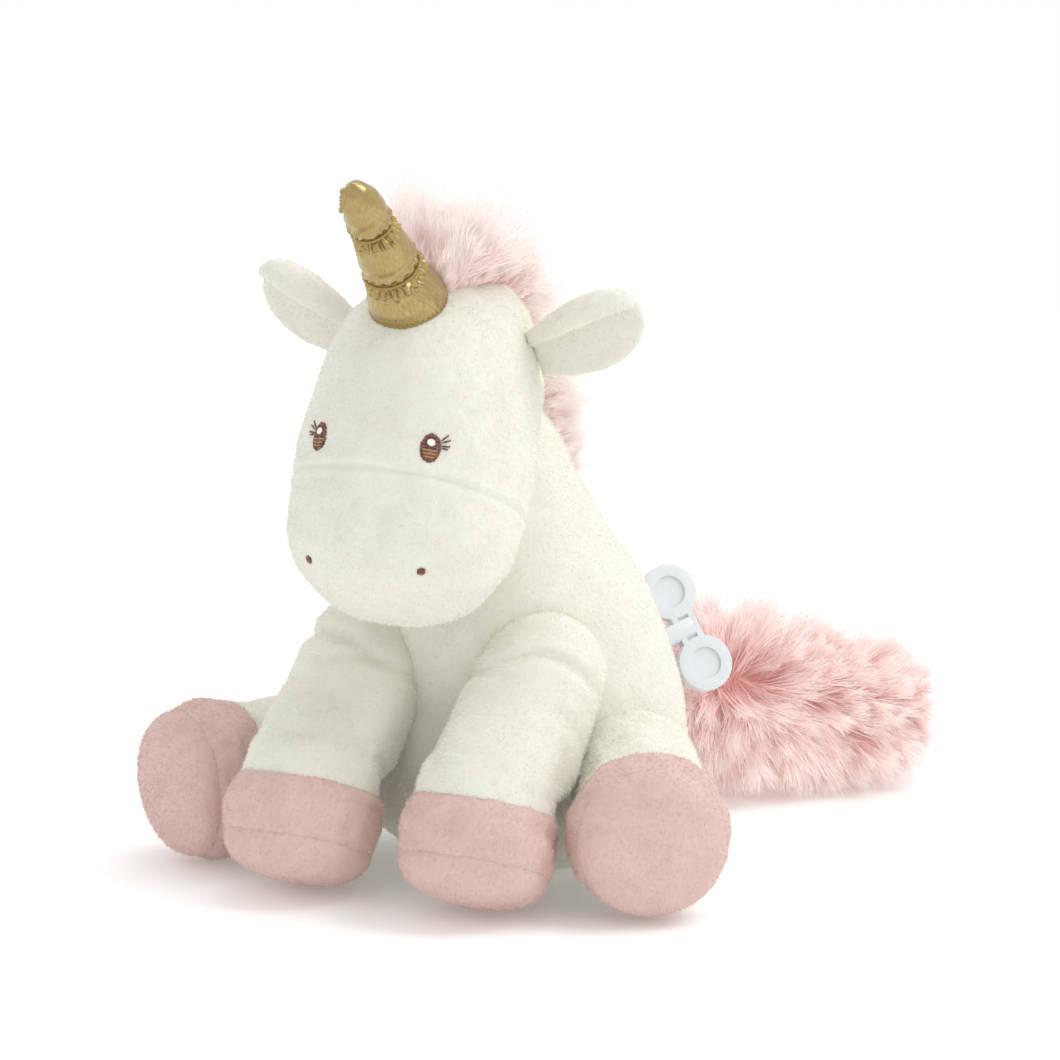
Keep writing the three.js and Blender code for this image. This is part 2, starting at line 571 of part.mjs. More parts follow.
function earLayer(near, far, flip) {
  const rings = earAlong.map(([x, wide, thick, rise]) => {
    const edge = (offset, thins) => earHook.map(([y, z], i) => {
      const [a, b] = [earHook[Math.max(i - 1, 0)], earHook[Math.min(i + 1, earHook.length - 1)]];
      const normal = new THREE.Vector2(b[1] - a[1], a[0] - b[0]).normalize();
      const fade = thins ? Math.sqrt(Math.sin((Math.PI * (i + 0.6)) / (earHook.length + 0.2))) : 1;
      return v([x, (y + normal.x * offset * fade) * thick * flip, (z + normal.y * offset * fade) * wide + rise]);
    });
    return [...edge(far, true), ...edge(near, false).toReversed()];
  });
  return loft(rings, undefined, undefined, true);
}

for (const side of ['left', 'right']) {
  const flip = side === 'left' ? 1 : -1;
  const group = frameAt([earMid.x * flip, earMid.y, earMid.z], [earWay.x * flip, earWay.y, earWay.z],
    [(earTip[0] - earMid.x) * flip, earTip[1] - earMid.y, earTip[2] - earMid.z]);
  part(`ear_${side}_cover`, earLayer(gap, 3, flip), cream, group);
  part(`ear_${side}_lining`, earLayer(-gap, -3, flip), cream, group);
}

export default object;
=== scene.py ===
import json
import math
import random

import bmesh
import bpy
from mathutils import Matrix, Vector, noise
from mathutils.bvhtree import BVHTree
from mathutils.kdtree import KDTree


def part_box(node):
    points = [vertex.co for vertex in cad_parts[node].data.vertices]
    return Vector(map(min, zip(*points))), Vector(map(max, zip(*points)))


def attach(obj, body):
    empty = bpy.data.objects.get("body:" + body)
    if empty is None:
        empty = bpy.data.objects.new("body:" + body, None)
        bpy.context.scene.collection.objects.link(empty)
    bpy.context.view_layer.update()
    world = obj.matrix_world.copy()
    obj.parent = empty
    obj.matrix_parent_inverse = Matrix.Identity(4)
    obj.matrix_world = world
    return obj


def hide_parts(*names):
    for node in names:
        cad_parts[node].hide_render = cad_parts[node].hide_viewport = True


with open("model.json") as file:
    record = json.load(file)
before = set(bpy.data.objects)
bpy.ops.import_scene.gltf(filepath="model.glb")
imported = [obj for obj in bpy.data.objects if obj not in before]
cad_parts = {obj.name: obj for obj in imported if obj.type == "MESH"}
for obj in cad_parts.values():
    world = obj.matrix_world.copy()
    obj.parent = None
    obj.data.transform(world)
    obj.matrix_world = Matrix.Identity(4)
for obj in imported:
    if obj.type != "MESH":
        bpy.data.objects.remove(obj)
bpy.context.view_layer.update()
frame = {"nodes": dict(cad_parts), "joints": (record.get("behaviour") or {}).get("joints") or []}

# A sitting plush unicorn with a wind-up key. Metres, Z up, the face looks along -Y, +X is the unicorn's left.
mm = 0.001
scene = bpy.context.scene
joints = {joint["name"]: joint for joint in frame["joints"]}
upWay = Vector((0, 0, 1))

# ---- camera, light and floor ----

view = {
    "azimuth": 27.2,  # degrees from the front towards the unicorn's left
    "elevation": 12.1,
    "distance": 2.45,
    "lens": 236,
    "aim": (44.4, -77.2, 136.5),  # mm
}
lamps = {  # position in metres, size in metres, power in watts
    "windowLight": ((1.3, 0.3, 1.75), 1.0, 14),
    "topSoftbox": ((0.0, 0.45, 1.95), 1.0, 7),
}
sheet = {"half": 1.1, "drop": 0.6 * mm}  # the paper lies just under the toy


def makeStudio():
    turn, rise = math.radians(view["azimuth"]), math.radians(view["elevation"])
    back = Vector((math.sin(turn) * math.cos(rise), -math.cos(turn) * math.cos(rise), math.sin(rise)))
    camera = bpy.data.objects.new("camera", bpy.data.cameras.new("camera"))
    camera.data.lens = view["lens"]
    camera.data.sensor_width = 36
    camera.location = Vector(view["aim"]) * mm + back * view["distance"]
    camera.rotation_euler = (-back).to_track_quat("-Z", "Y").to_euler()
    scene.collection.objects.link(camera)
    scene.camera = camera

    for name, (place, size, power) in lamps.items():
        lamp = bpy.data.objects.new(name, bpy.data.lights.new(name, "AREA"))
        lamp.data.size = size
        lamp.data.energy = power
        lamp.location = place
        lamp.rotation_euler = (Vector((0, 0, 0.1)) - lamp.location).to_track_quat("-Z", "Y").to_euler()
        scene.collection.objects.link(lamp)

    world = bpy.data.worlds.new("paleRoom")
    scene.world = world
    world.use_nodes = True
    air = world.node_tree
    spot = addNode(air, "ShaderNodeSeparateXYZ", None,
                   {0: addNode(air, "ShaderNodeTexCoord").outputs["Generated"]})
    sky = ramp(air, spot.outputs["Z"], [(0.35, "#ffffff"), (0.8, "#e2e2e2")])
    air.links.new(sky.outputs["Color"], air.nodes["Background"].inputs["Color"])
    scene.view_settings.view_transform = "Standard"

    edge = sheet["half"]
    corners = [(-edge, -edge, 0), (edge, -edge, 0), (edge, edge, 0), (-edge, edge, 0)]
    floor = newPiece("floor", corners, [(0, 1, 2, 3)])
    floor.location.z = -sheet["drop"]
    floor.data.materials.append(paperFloor())


# ---- materials ----

def linear(code, alpha=1.0):
    parts = [int(code[i:i + 2], 16) / 255 for i in (1, 3, 5)]
    return (*[c / 12.92 if c <= 0.04045 else ((c + 0.055) / 1.055) ** 2.4 for c in parts], alpha)


# adds a node; a key that is an input's name or number sets that input, any other key sets the node itself
def addNode(tree, kind, settings=None, links=None):
    node = tree.nodes.new(kind)
    own = {key: value for key,
           value in (settings or {}).items() if isinstance(key, str) and hasattr(node, key)}
    for key, value in own.items():
        setattr(node, key, value)
    for key, value in (settings or {}).items():
        if key not in own:
            node.inputs[key].default_value = value
    for key, source in (links or {}).items():
        tree.links.new(source, node.inputs[key])
    return node


def newMaterial(name):
    material = bpy.data.materials.new(name)
    material.use_nodes = True
    tree = material.node_tree
    shader = tree.nodes["Principled BSDF"]
    return material, tree, shader


def paperFloor():
    material, tree, shader = newMaterial("seamlessPaper")
    shader.inputs["Base Color"].default_value = linear("#fbfbfa")
    shader.inputs["Emission Color"].default_value = linear("#ffffff")
    shader.inputs["Emission Strength"].default_value = 0.14  # the sheet is lit from below as well
    shader.inputs["Roughness"].default_value = 0.95
    return material


def ramp(tree, source, stops):
    node = addNode(tree, "ShaderNodeValToRGB", None, {"Fac": source})
    bar = node.color_ramp.elements
    while len(bar) < len(stops):
        bar.new(0.5)
    for element, (place, code) in zip(bar, stops):
        element.position = place
        element.color = linear(code)
    return node


# polyester velour, sheared short pile: matt, brighter at grazing angles, mottled where the nap lies over
def velour(name, shade, light, sheenTint, pile=False):
    material, tree, shader = newMaterial(name)
    place = addNode(tree, "ShaderNodeTexCoord").outputs["Object"]
    napSize, fibreSize = 14 * mm, 0.9 * mm
    nap = addNode(tree, "ShaderNodeTexNoise",
                  {"Scale": 1 / napSize, "Detail": 4, "Roughness": 0.62, "Distortion": 0.6},
                  {"Vector": place})
    fibres = addNode(tree, "ShaderNodeTexNoise", {"Scale": 1 / fibreSize, "Detail": 3, "Roughness": 0.7},
                     {"Vector": place})
    mixed = addNode(tree, "ShaderNodeMath", {"operation": "MULTIPLY_ADD", 1: 0.35},
                    {0: fibres.outputs["Fac"], 2: nap.outputs["Fac"]})
    colour = ramp(tree, mixed.outputs["Value"], [(0.35, shade), (0.95, light)])
    tree.links.new(colour.outputs["Color"], shader.inputs["Base Color"])
    if pile:
        tree.links.new(colour.outputs["Color"], shader.inputs["Emission Color"])
        shader.inputs["Emission Strength"].default_value = 0.05  # painted glow: the pile gives off a little light in its own colour, lifting the shade between its fibres
    else:
        bumpFine = addNode(tree, "ShaderNodeBump", {"Strength": 0.3, "Distance": 0.2 * mm},
                           {"Height": fibres.outputs["Fac"]})
        bumpNap = addNode(tree, "ShaderNodeBump", {"Strength": 0.2, "Distance": 0.6 * mm},
                          {"Height": nap.outputs["Fac"], "Normal": bumpFine.outputs["Normal"]})
        tree.links.new(bumpNap.outputs["Normal"], shader.inputs["Normal"])
    shader.inputs["Roughness"].default_value = 0.92
    shader.inputs["Specular IOR Level"].default_value = 0.15
    shader.inputs["Sheen Weight"].default_value = 0.25
    shader.inputs["Sheen Roughness"].default_value = 0.45
    shader.inputs["Sheen Tint"].default_value = linear(sheenTint)
    return material


# modacrylic fur, brushed long pile: deep tint at the roots, pale translucent tips
def longFur(name, root, middle, tip, paintedGlow):
    material, tree, shader = newMaterial(name)
    along = addNode(tree, "ShaderNodeAttribute", {"attribute_name": "along"}).outputs["Fac"]
    tone = addNode(tree, "ShaderNodeAttribute", {"attribute_name": "tone"}).outputs["Fac"]
    place = addNode(tree, "ShaderNodeTexCoord").outputs["Object"]
    patches = addNode(tree, "ShaderNodeTexNoise", {"Scale": 1 / (18 * mm), "Detail": 2}, {"Vector": place})
    drift = addNode(tree, "ShaderNodeMath", {"operation": "MULTIPLY_ADD", 1: 0.3, 2: -0.15}, {0: tone})
    lifted = addNode(tree, "ShaderNodeMath", {"operation": "ADD"}, {0: along, 1: drift.outputs["Value"]})
    tinted = addNode(tree, "ShaderNodeMath", {"operation": "MULTIPLY_ADD", 1: 0.3},
                     {0: patches.outputs["Fac"], 2: lifted.outputs["Value"]})
    colour = ramp(tree, tinted.outputs["Value"], [(0.1, root), (0.55, middle), (1.0, tip)])
    tree.links.new(colour.outputs["Color"], shader.inputs["Base Color"])
    shader.inputs["Emission Color"].default_value = linear(middle)  # painted glow: the fur gives off a little light in its middle colour, lifting the shade deep between the hairs
    shader.inputs["Emission Strength"].default_value = paintedGlow
    shader.inputs["Roughness"].default_value = 0.7
    shader.inputs["Specular IOR Level"].default_value = 0.2
    shader.inputs["Sheen Weight"].default_value = 0.6
    shader.inputs["Sheen Roughness"].default_value = 0.4
    shader.inputs["Sheen Tint"].default_value = linear("#fff0ee")
    return material


# polyester satin, woven with long floats: a broad metallic gloss that runs along the folds
def goldSatin():
    material, tree, shader = newMaterial("goldSatin")
    place = addNode(tree, "ShaderNodeTexCoord").outputs["UV"]
    threads = addNode(tree, "ShaderNodeTexNoise", {"Scale": 9.0, "Detail": 3}, {"Vector": addNode(
        tree, "ShaderNodeMapping", {"Scale": (22, 3, 1)}, {"Vector": place}).outputs["Vector"]})
    colour = ramp(tree, threads.outputs["Fac"], [(0.3, "#99824f"), (0.55, "#ad9763"), (0.8, "#c3af84")])
    tree.links.new(colour.outputs["Color"], shader.inputs["Base Color"])
    relief = addNode(tree, "ShaderNodeBump", {"Strength": 0.08, "Distance": 0.1 * mm},
                     {"Height": threads.outputs["Fac"]})
    tree.links.new(relief.outputs["Normal"], shader.inputs["Normal"])
    shader.inputs["Metallic"].default_value = 0.85
    shader.inputs["Roughness"].default_value = 0.29
    shader.inputs["Sheen Weight"].default_value = 0.15
    return material


# rayon embroidery thread: twisted and glossy, the colour comes from the stitch
def rayonThread(name, gloss=0.42):
    material, tree, shader = newMaterial(name)
    shade = addNode(tree, "ShaderNodeAttribute", {"attribute_name": "shade"}).outputs["Color"]
    place = addNode(tree, "ShaderNodeTexCoord").outputs["Object"]
    twistLong = 1.6 * mm
    twist = addNode(tree, "ShaderNodeTexWave", {"Scale": 1 / twistLong / 6.28, "Distortion": 1.5},
                    {"Vector": place})
    relief = addNode(tree, "ShaderNodeBump", {"Strength": 0.3, "Distance": 0.1 * mm},
                     {"Height": twist.outputs["Fac"]})
    tree.links.new(shade, shader.inputs["Base Color"])
    tree.links.new(relief.outputs["Normal"], shader.inputs["Normal"])
    shader.inputs["Roughness"].default_value = gloss
    return material


# injection-moulded plastic or plain metal: almost smooth, with a faint texture from the tool
def moulded(name, code, rough, metal=0.0, grain=0.5, depth=0.02):
    material, tree, shader = newMaterial(name)
    place = addNode(tree, "ShaderNodeTexCoord").outputs["Object"]
    skin = addNode(tree, "ShaderNodeTexNoise", {"Scale": 1 / (grain * mm), "Detail": 2}, {"Vector": place})
    tone = ramp(tree, skin.outputs["Fac"], [(0.2, code), (0.9, code)])
    tone.color_ramp.elements[0].color = [c * 0.93 for c in tone.color_ramp.elements[0].color[:3]] + [1]
    relief = addNode(tree, "ShaderNodeBump", {"Strength": 0.3, "Distance": depth * mm},
                     {"Height": skin.outputs["Fac"]})
    tree.links.new(tone.outputs["Color"], shader.inputs["Base Color"])
    tree.links.new(relief.outputs["Normal"], shader.inputs["Normal"])
    shader.inputs["Roughness"].default_value = rough
    shader.inputs["Metallic"].default_value = metal
    return material


creamVelour = velour("creamVelour", "#dddcd0", "#e7e6dc", "#fffdf6")
pinkVelour = velour("pinkVelour", "#cdb0a9", "#dbc1bb", "#ffeeea")
creamPile = velour("creamPile", "#e4e3d8", "#eeede4", "#fffdf6", True)
pinkPile = velour("pinkPile", "#d2b6af", "#e0c8c2", "#ffeeea", True)
tailPink = longFur("tailFurPink", "#e0a09a", "#f0d1cc", "#fbf2f0", 0.12)
manePink = longFur("maneFurPale", "#e6b7b1", "#f1dfdc", "#f9f3f1", 0.12)
satin = goldSatin()
thread = rayonThread("embroideryThread")
goldThread = moulded("goldPolyesterThread", "#a08544", 0.45, 0.3)
keyPlastic = moulded("whiteAbsMoulded", "#dbdfe3", 0.22)
casePlastic = moulded("casePolypropylene", "#d9dcdc", 0.5, 0.0, 0.8, 0.05)
springSteel = moulded("groundSpringSteel", "#b4b8bc", 0.32, 1.0, 0.3, 0.01)
turnedBrass = moulded("turnedBrass", "#c9a24a", 0.28, 1.0, 0.3, 0.01)


# ---- making meshes ----

def newPiece(name, points, faces, material=None, smooth=True):
    mesh = bpy.data.meshes.new(name)
    mesh.from_pydata([tuple(p) for p in points], [], faces)
    mesh.validate()
    mesh.polygons.foreach_set("use_smooth", [smooth] * len(mesh.polygons))
    piece = bpy.data.objects.new(name, mesh)
    scene.collection.objects.link(piece)
    if material:
        mesh.materials.append(material)
    return piece


# skin through rings with equally many points, closed at both ends on the given tips
def ringSkin(name, rings, startTip, endTip, material):
    count = len(rings[0])
    points = [p for ring in rings for p in ring]
    faces = []
    for r in range(len(rings) - 1):
        for i in range(count):
            k = (i + 1) % count
            faces.append((r * count + i, r * count + k, (r + 1) * count + k, (r + 1) * count + i))
    for tip, ring, turned in ((startTip, 0, True), (endTip, len(rings) - 1, False)):
        if tip is None:
            continue
        points.append(tip)
        for i in range(count):
            k = (i + 1) % count
            corner = (ring * count + i, ring * count + k, len(points) - 1)
            faces.append(corner[::-1] if turned else corner)
    piece = newPiece(name, points, faces, material)
    faceOut(piece)
    return piece


def faceOut(piece):
    form = bmesh.new()
    form.from_mesh(piece.data)
    bmesh.ops.recalc_face_normals(form, faces=form.faces)
    if form.calc_volume(signed=True) < 0:
        bmesh.ops.reverse_faces(form, faces=form.faces)
    form.to_mesh(piece.data)
    form.free()


def cadCopy(*names):
    form = bmesh.new()
    for name in names:
        form.from_mesh(frame["nodes"][name].data)
    bmesh.ops.remove_doubles(form, verts=form.verts, dist=0.01 * mm)
    return form


def pieceFrom(name, form):
    mesh = bpy.data.meshes.new(name)
    form.to_mesh(mesh)
    form.free()
    piece = bpy.data.objects.new(name, mesh)
    scene.collection.objects.link(piece)
    return piece


def remeshed(piece, voxel):
    remesh = piece.modifiers.new("remesh", "REMESH")
    remesh.mode = "VOXEL"
    remesh.voxel_size = voxel


def paint(data, material):
    data.materials.clear()
    data.materials.append(material)


def smoothed(piece):
    piece.data.polygons.foreach_set("use_smooth", [True] * len(piece.data.polygons))


def treeOf(*names):
    form = cadCopy(*names)
    tree = BVHTree.FromBMesh(form)
    form.free()
    return tree


def pieceTree(piece):
    return BVHTree.FromPolygons([v.co for v in piece.data.vertices],
                                [p.vertices[:] for p in piece.data.polygons])


# distance from a middle point to the outermost surface along a direction
def reach(tree, middle, way):
    hit = tree.ray_cast(middle + way * 0.5, -way)[0]
    return max((hit - middle).dot(way), 0) if hit else 0


def softened(values, passes):
    for _ in range(passes):
        inner = [(a + 2 * b + c) / 4 for a, b, c in zip(values, values[1:], values[2:])]
        values = [values[0]] + inner + [values[-1]]
    return values


def bump(x, width):
    return math.exp(-(x / width) ** 2)


def wobble(point, size, seed):
    return noise.noise(Vector(point) / size + Vector((seed, seed * 0.7, -seed)))


# turns the evaluated piece into a plain mesh and drops its modifiers
def applied(piece):
    bpy.context.view_layer.update()
    graph = bpy.context.evaluated_depsgraph_get()
    mesh = bpy.data.meshes.new_from_object(piece.evaluated_get(graph), depsgraph=graph)
    piece.modifiers.clear()
    old = piece.data
    piece.data = mesh
    mesh.name = piece.name
    bpy.data.meshes.remove(old)
    return piece


# ---- filling the covers ----

filling = {"voxel": 5 * mm, "pressure": 4.0, "slimmer": 1.6 * mm, "cap": 3.2 * mm, "slack": -0.07,
           "stiffness": 0.15, "frames": 20}


# blows the covers up as slack cloth held at their seams; what that adds is carried over to the fine skins
def stuff(jobs):
    cages = []
    for piece, held, share in jobs:
        cage = bpy.data.objects.new("cage", piece.data.copy())
        scene.collection.objects.link(cage)
        remeshed(cage, filling["voxel"])
        applied(cage)
        rest = [v.co.copy() for v in cage.data.vertices]
        normals = [v.normal.copy() for v in cage.data.vertices]
        group = cage.vertex_groups.new(name="sewn")
        for i, (point, normal) in enumerate(zip(rest, normals)):
            pin = held(point)
            group.add([i], pin, "REPLACE")
            cage.data.vertices[i].co = point - normal * filling["slimmer"] * (1 - pin)
        cloth = cage.modifiers.new("cloth", "CLOTH")
        cloth.settings.quality = 6
        cloth.settings.use_pressure = True
        cloth.settings.uniform_pressure_force = filling["pressure"]
        cloth.settings.vertex_group_mass = "sewn"
        cloth.settings.shrink_min = filling["slack"]
        cloth.settings.bending_stiffness = filling["stiffness"]
        cloth.settings.effector_weights.gravity = 0
        cages.append((piece, cage, rest, share))
    for number in range(1, filling["frames"] + 1):
        scene.frame_set(number)
    graph = bpy.context.evaluated_depsgraph_get()
    for piece, cage, rest, share in cages:
        blown = [v.co.copy() for v in cage.evaluated_get(graph).data.vertices]
        moves = []
        for a, b in zip(rest, blown):
            move = b - a
            moves.append(move * min(1, filling["cap"] / max(move.length, 1e-9)))
        near = KDTree(len(rest))
        for i, point in enumerate(rest):
            near.insert(point, i)
        near.balance()
        for vertex in piece.data.vertices:
            total, weight = Vector(), 0
            for _, i, gap in near.find_n(vertex.co, 6):
                pull = 1 / (gap * gap + (1.5 * mm) ** 2)
                total += moves[i] * pull
                weight += pull
            vertex.co += total / weight * share
            vertex.co.z = max(vertex.co.z, 0.2 * mm)
        print(piece.name, "filled, mean move mm", round(sum(m.length for m in moves) / len(moves) / mm, 2))
    for _, cage, _, _ in cages:
        bpy.data.objects.remove(cage)
    scene.frame_set(1)


# ---- torso ----

torso = {"rings": 110, "around": 150, "wrinkle": 0.9 * mm, "neckRound": 30 * mm, "seamDeep": 1.1 * mm,
         "seamWide": 1.5 * mm}


def makeTorso():
    tree = treeOf("body_cover")
    low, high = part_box("body_cover")
    beside = 12 * mm  # clear of the tail's opening
    heights = [low.z + (high.z - low.z) * (i + 0.02) / (torso["rings"] - 0.96) for i in range(torso["rings"])]
    middles, radii = [], []
    for z in heights:
        front = -reach(tree, Vector((0, 0, z)), Vector((0, -1, 0)))
        if z > 0.12:
            front = tree.ray_cast(Vector((0, -0.5, z)), Vector((0, 1, 0)))[0].y
        back = tree.ray_cast(Vector((beside, 0.5, z)), Vector((0, -1, 0)))[0].y
        span = back - front
        radius = (span ** 2 + beside ** 2) / (2 * span)
        middles.append(front + radius)
        radii.append(radius)
    middles, radii = softened(middles, 14), softened(radii, 14)
    rings = []
    for z, middle, radius in zip(heights, middles, radii):
        ring = []
        near = max(0, 1 - (high.z - z) / torso["neckRound"])
        radius *= math.sqrt(1 - 0.93 * near * near)  # the neck ends rounded inside the head
        for i in range(torso["around"]):
            turn = 2 * math.pi * (i + 0.5) / torso["around"]
            way = Vector((math.cos(turn), math.sin(turn), 0))
            grow = torso["wrinkle"] * wobble((way.x * radius, way.y * radius, z), 30 * mm, 3)
            if way.y > 0:
                grow -= torso["seamDeep"] * bump(way.x * radius, torso["seamWide"])
            ring.append(Vector((0, middle, z)) + way * (radius + grow * min(1, z / 0.02)))
        rings.append(ring)
    base, top = Vector((0, middles[0], low.z + 0.2 * mm)), Vector((0, middles[-1], high.z))
    piece = ringSkin("torsoSkin", rings, base, top, creamVelour)
    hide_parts("body_cover", "body_stuffing")
    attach(piece, "torso")
    return piece


# ---- legs ----

leg = {
    "around": 96, "step": 1.1 * mm, "tuck": 1.6 * mm, "ankle": 0.5, "pivot": 0.4,
    # each fold: mm from the hip, depth, width, slant and which way it faces
    "folds": [(10, 2.1, 2.8, 6, 0.5), (19, 0.9, 2.6, -7, -0.7), (30, 0.7, 2.6, 6, 0.9)],
}


def legFrame(which, side):
    joint = next(j for name, j in joints.items() if name.startswith(f"{which}_leg_{side}"))
    hip = Vector(joint["pos_m"])
    nodes = {kind: frame["nodes"][f"{which}_{kind}_{side}"] for kind in ("hoof", "sole")}
    points = {kind: [v.co for v in node.data.vertices] for kind, node in nodes.items()}
    middle = {kind: sum(corners, Vector()) / len(corners) for kind, corners in points.items()}
    foot = (middle["sole"] - middle["hoof"]).normalized()
    offs = [(p - middle["hoof"]).dot(foot) for p in points["hoof"]]
    pivot = middle["hoof"] + foot * (min(offs) + (max(offs) - min(offs)) * leg["pivot"])
    ends = [max((p - pivot).dot(foot) for p in points[kind]) for kind in ("hoof", "sole")]
    return hip, pivot, foot, min((p - pivot).dot(foot) for p in points["hoof"]), ends


def makeLeg(which, side):
    hip, pivot, foot, hoofStart, (hoofEnd, soleEnd) = legFrame(which, side)
    along = (pivot - hip).normalized()
    across = along.cross(upWay).normalized()
    lifted = across.cross(along)
    long = (pivot - hip).length
    angle = math.atan2(foot.dot(lifted), foot.dot(along))
    names = [f"{which}_leg_{side}_cover", f"{which}_hoof_{side}", f"{which}_sole_{side}"]
    tree = treeOf(*names)
    start = min((v.co - hip).dot(along) for v in frame["nodes"][names[0]].data.vertices)
    seam, rim, end = long + hoofStart - 0.2 * mm, long + hoofEnd, long + soleEnd

    # the leg's own frame at a distance along it: the foot bends down about the hoof's middle
    def frameAt(t):
        share = min(1, max(0, (t - long * leg["ankle"]) / (seam - long * leg["ankle"])))
        turn = Matrix.Rotation(angle * share * share * (3 - 2 * share), 3, across)
        return pivot + turn @ (along * (t - long)), turn @ lifted

    def radiusAt(t):
        middle, up = frameAt(t)
        return sum(reach(tree, middle, way) for way in (up, across, -across)) / 3

    count = int((end - start) / leg["step"])
    steps = [start + (end - start) * (i + 0.3) / count for i in range(count)]
    radii = softened([radiusAt(t) for t in steps], 3)
    seed = {"front": 5, "back": 9}[which] + (side == "left")
    sides = 1 if side == "left" else -1

    def ringAt(t, radius):
        middle, up = frameAt(t)
        ring = []
        for i in range(leg["around"]):
            turn = 2 * math.pi * i / leg["around"]
            way = across * math.cos(turn) + up * math.sin(turn)
            point = middle + way * radius
            grow = 0.7 * mm * wobble(point, 22 * mm, seed)
            if t < seam:  # folds where the stuffed leg bends out of the body
                for place, depth, width, lean, face in leg["folds"]:
                    facing = max(0, math.cos(turn - math.pi / 2 - face * sides)) ** 1.3
                    off = t - place * mm - lean * mm * math.cos(turn) * sides
                    off -= 2.5 * mm * wobble(point, 18 * mm, seed + 2)
                    grow -= depth * mm * bump(off, width * mm) * facing
                    grow += depth * 0.55 * mm * bump(off - 5 * mm, 4 * mm) * facing
                    grow += depth * 0.4 * mm * bump(off + 5 * mm, 4 * mm) * facing
            point += way * grow
            point.z = max(point.z, 0.25 * mm)
            ring.append(point)
        return ring

    def skin(name, fromT, toT, material, openStart, openEnd):
        rings = []
        if openStart:
            fromT -= 0.35 * mm
            rings.append(ringAt(fromT, radiusNear(fromT) - leg["tuck"] * 1.6))
            rings.append(ringAt(fromT, radiusNear(fromT) - leg["tuck"] * 0.5))
        for t, radius in zip(steps, radii):
            if fromT <= t <= toT:
                near = min(abs(t - fromT) if openStart else 1, abs(t - toT) if openEnd else 1)
                rings.append(ringAt(t, radius - 0.75 * mm * bump(near, 1.7 * mm)))
        if openEnd:
            toT += 0.35 * mm
            rings.append(ringAt(toT, radiusNear(toT) - leg["tuck"] * 0.5))
            rings.append(ringAt(toT, radiusNear(toT) - leg["tuck"] * 1.6))
        startTip = frameAt(fromT + (3 * mm if openStart else 0))[0]
        endTip = frameAt(toT - (3 * mm if openEnd else 0))[0]
        piece = ringSkin(name, rings, startTip, endTip, material)
        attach(piece, f"{which}_leg_{side}")
        return piece

    def radiusNear(t):
        return radii[min(range(count), key=lambda i: abs(steps[i] - t))]

    title = f"{which}Leg{side.title()}"
    cover = skin(f"{title}Skin", start, seam, creamVelour, False, True)
    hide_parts(names[0], f"{which}_leg_{side}_stuffing")
    hoof = skin(f"{which}Hoof{side.title()}", seam, rim, pinkVelour, True, True)
    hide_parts(names[1])
    sole = skin(f"{which}Sole{side.title()}", rim, end, pinkVelour, True, False)
    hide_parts(names[2])

    def held(point):
        t = long + (point - pivot).dot(foot)
        return 1.0 if min(abs(t - seam), abs(t - rim)) < 3.5 * mm or point.z < 2 * mm else 0.0

    return [cover, hoof, sole], held


# ---- head ----

head = {"rings": 210, "around": 260, "seamDeep": 1.5 * mm, "seamWide": 1.3 * mm, "wrinkle": 0.5 * mm,
        "hornRise": 4.4, "hornRiseWide": 27 * mm, "passes": 16}  # hornRise in mm


def hullTree(*names):
    form = cadCopy(*names)
    made = bmesh.ops.convex_hull(form, input=form.verts)
    loose = [e for e in made["geom_interior"] + made["geom_unused"] if isinstance(e, bmesh.types.BMVert)]
    bmesh.ops.delete(form, geom=loose, context="VERTS")
    bmesh.ops.delete(form, geom=[f for f in form.faces if not f.is_valid], context="FACES")
    tree = BVHTree.FromBMesh(form)
    form.free()
    return tree


def seamPlane():
    upper = max((v.co for v in frame["nodes"]["muzzle_cover"].data.vertices), key=lambda p: p.z)
    lower = min((v.co for v in frame["nodes"]["head_cover"].data.vertices), key=lambda p: p.z)
    slope = (upper.z - lower.z) / (upper.y - lower.y)
    normal = Vector((0, -slope, 1)).normalized()
    return (upper + lower) / 2, normal


def makeHead():
    tree = hullTree("head_cover", "muzzle_cover")
    low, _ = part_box("muzzle_cover")
    _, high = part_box("head_cover")
    seamAt, seamNormal = seamPlane()
    heights, rows = [], []
    for i in range(head["rings"]):
        share = 0.5 - 0.5 * math.cos(math.pi * (i + 0.6) / (head["rings"] + 0.2))
        heights.append(low.z + (high.z - low.z) * share)
    middles = []
    for z in heights:
        front = tree.ray_cast(Vector((0, -0.5, z)), Vector((0, 1, 0)))[0].y
        back = tree.ray_cast(Vector((0, 0.5, z)), Vector((0, -1, 0)))[0].y
        middles.append((front + back) / 2)
    middles = softened(middles, 20)
    turns = [2 * math.pi * i / head["around"] for i in range(head["around"])]
    ways = [Vector((math.cos(a), math.sin(a), 0)) for a in turns]
    for z, middle in zip(heights, middles):
        rows.append([reach(tree, Vector((0, middle, z)), way) for way in ways])
    for _ in range(head["passes"]):  # the flat facets of the pattern are rounded off
        rows = [[(a + 2 * b + c) / 4 for a, b,
                 c in zip(row[-1:] + row[:-1], row, row[1:] + row[:1])] for row in rows]
        inner = [[(a + 2 * b + c) / 4 for a, b, c in zip(*near)] for near in zip(rows, rows[1:], rows[2:])]
        rows = [rows[0]] + inner + [rows[-1]]
    rings = []
    rise = hornFrame()[3]
    for z, middle, row in zip(heights, middles, rows):
        ring = []
        for way, radius in zip(ways, row):
            point = Vector((0, middle, z)) + way * radius
            off = (point - seamAt).dot(seamNormal)
            grow = head["wrinkle"] * wobble(point, 34 * mm, 7)
            grow -= head["seamDeep"] * bump(off, head["seamWide"])
            grow += 0.5 * mm * bump(off, 6 * mm)
            point += upWay * head["hornRise"] * mm * bump((point - rise).length, head["hornRiseWide"])
            ring.append(point + way * grow)
        rings.append(ring)
    chin, crown = Vector((0, middles[0], low.z)), Vector((0, middles[-1], high.z))
    piece = ringSkin("headSkin", rings, chin, crown, creamVelour)
    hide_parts("head_cover", "muzzle_cover", "head_stuffing")
    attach(piece, "head")
    return piece


# ---- ears ----

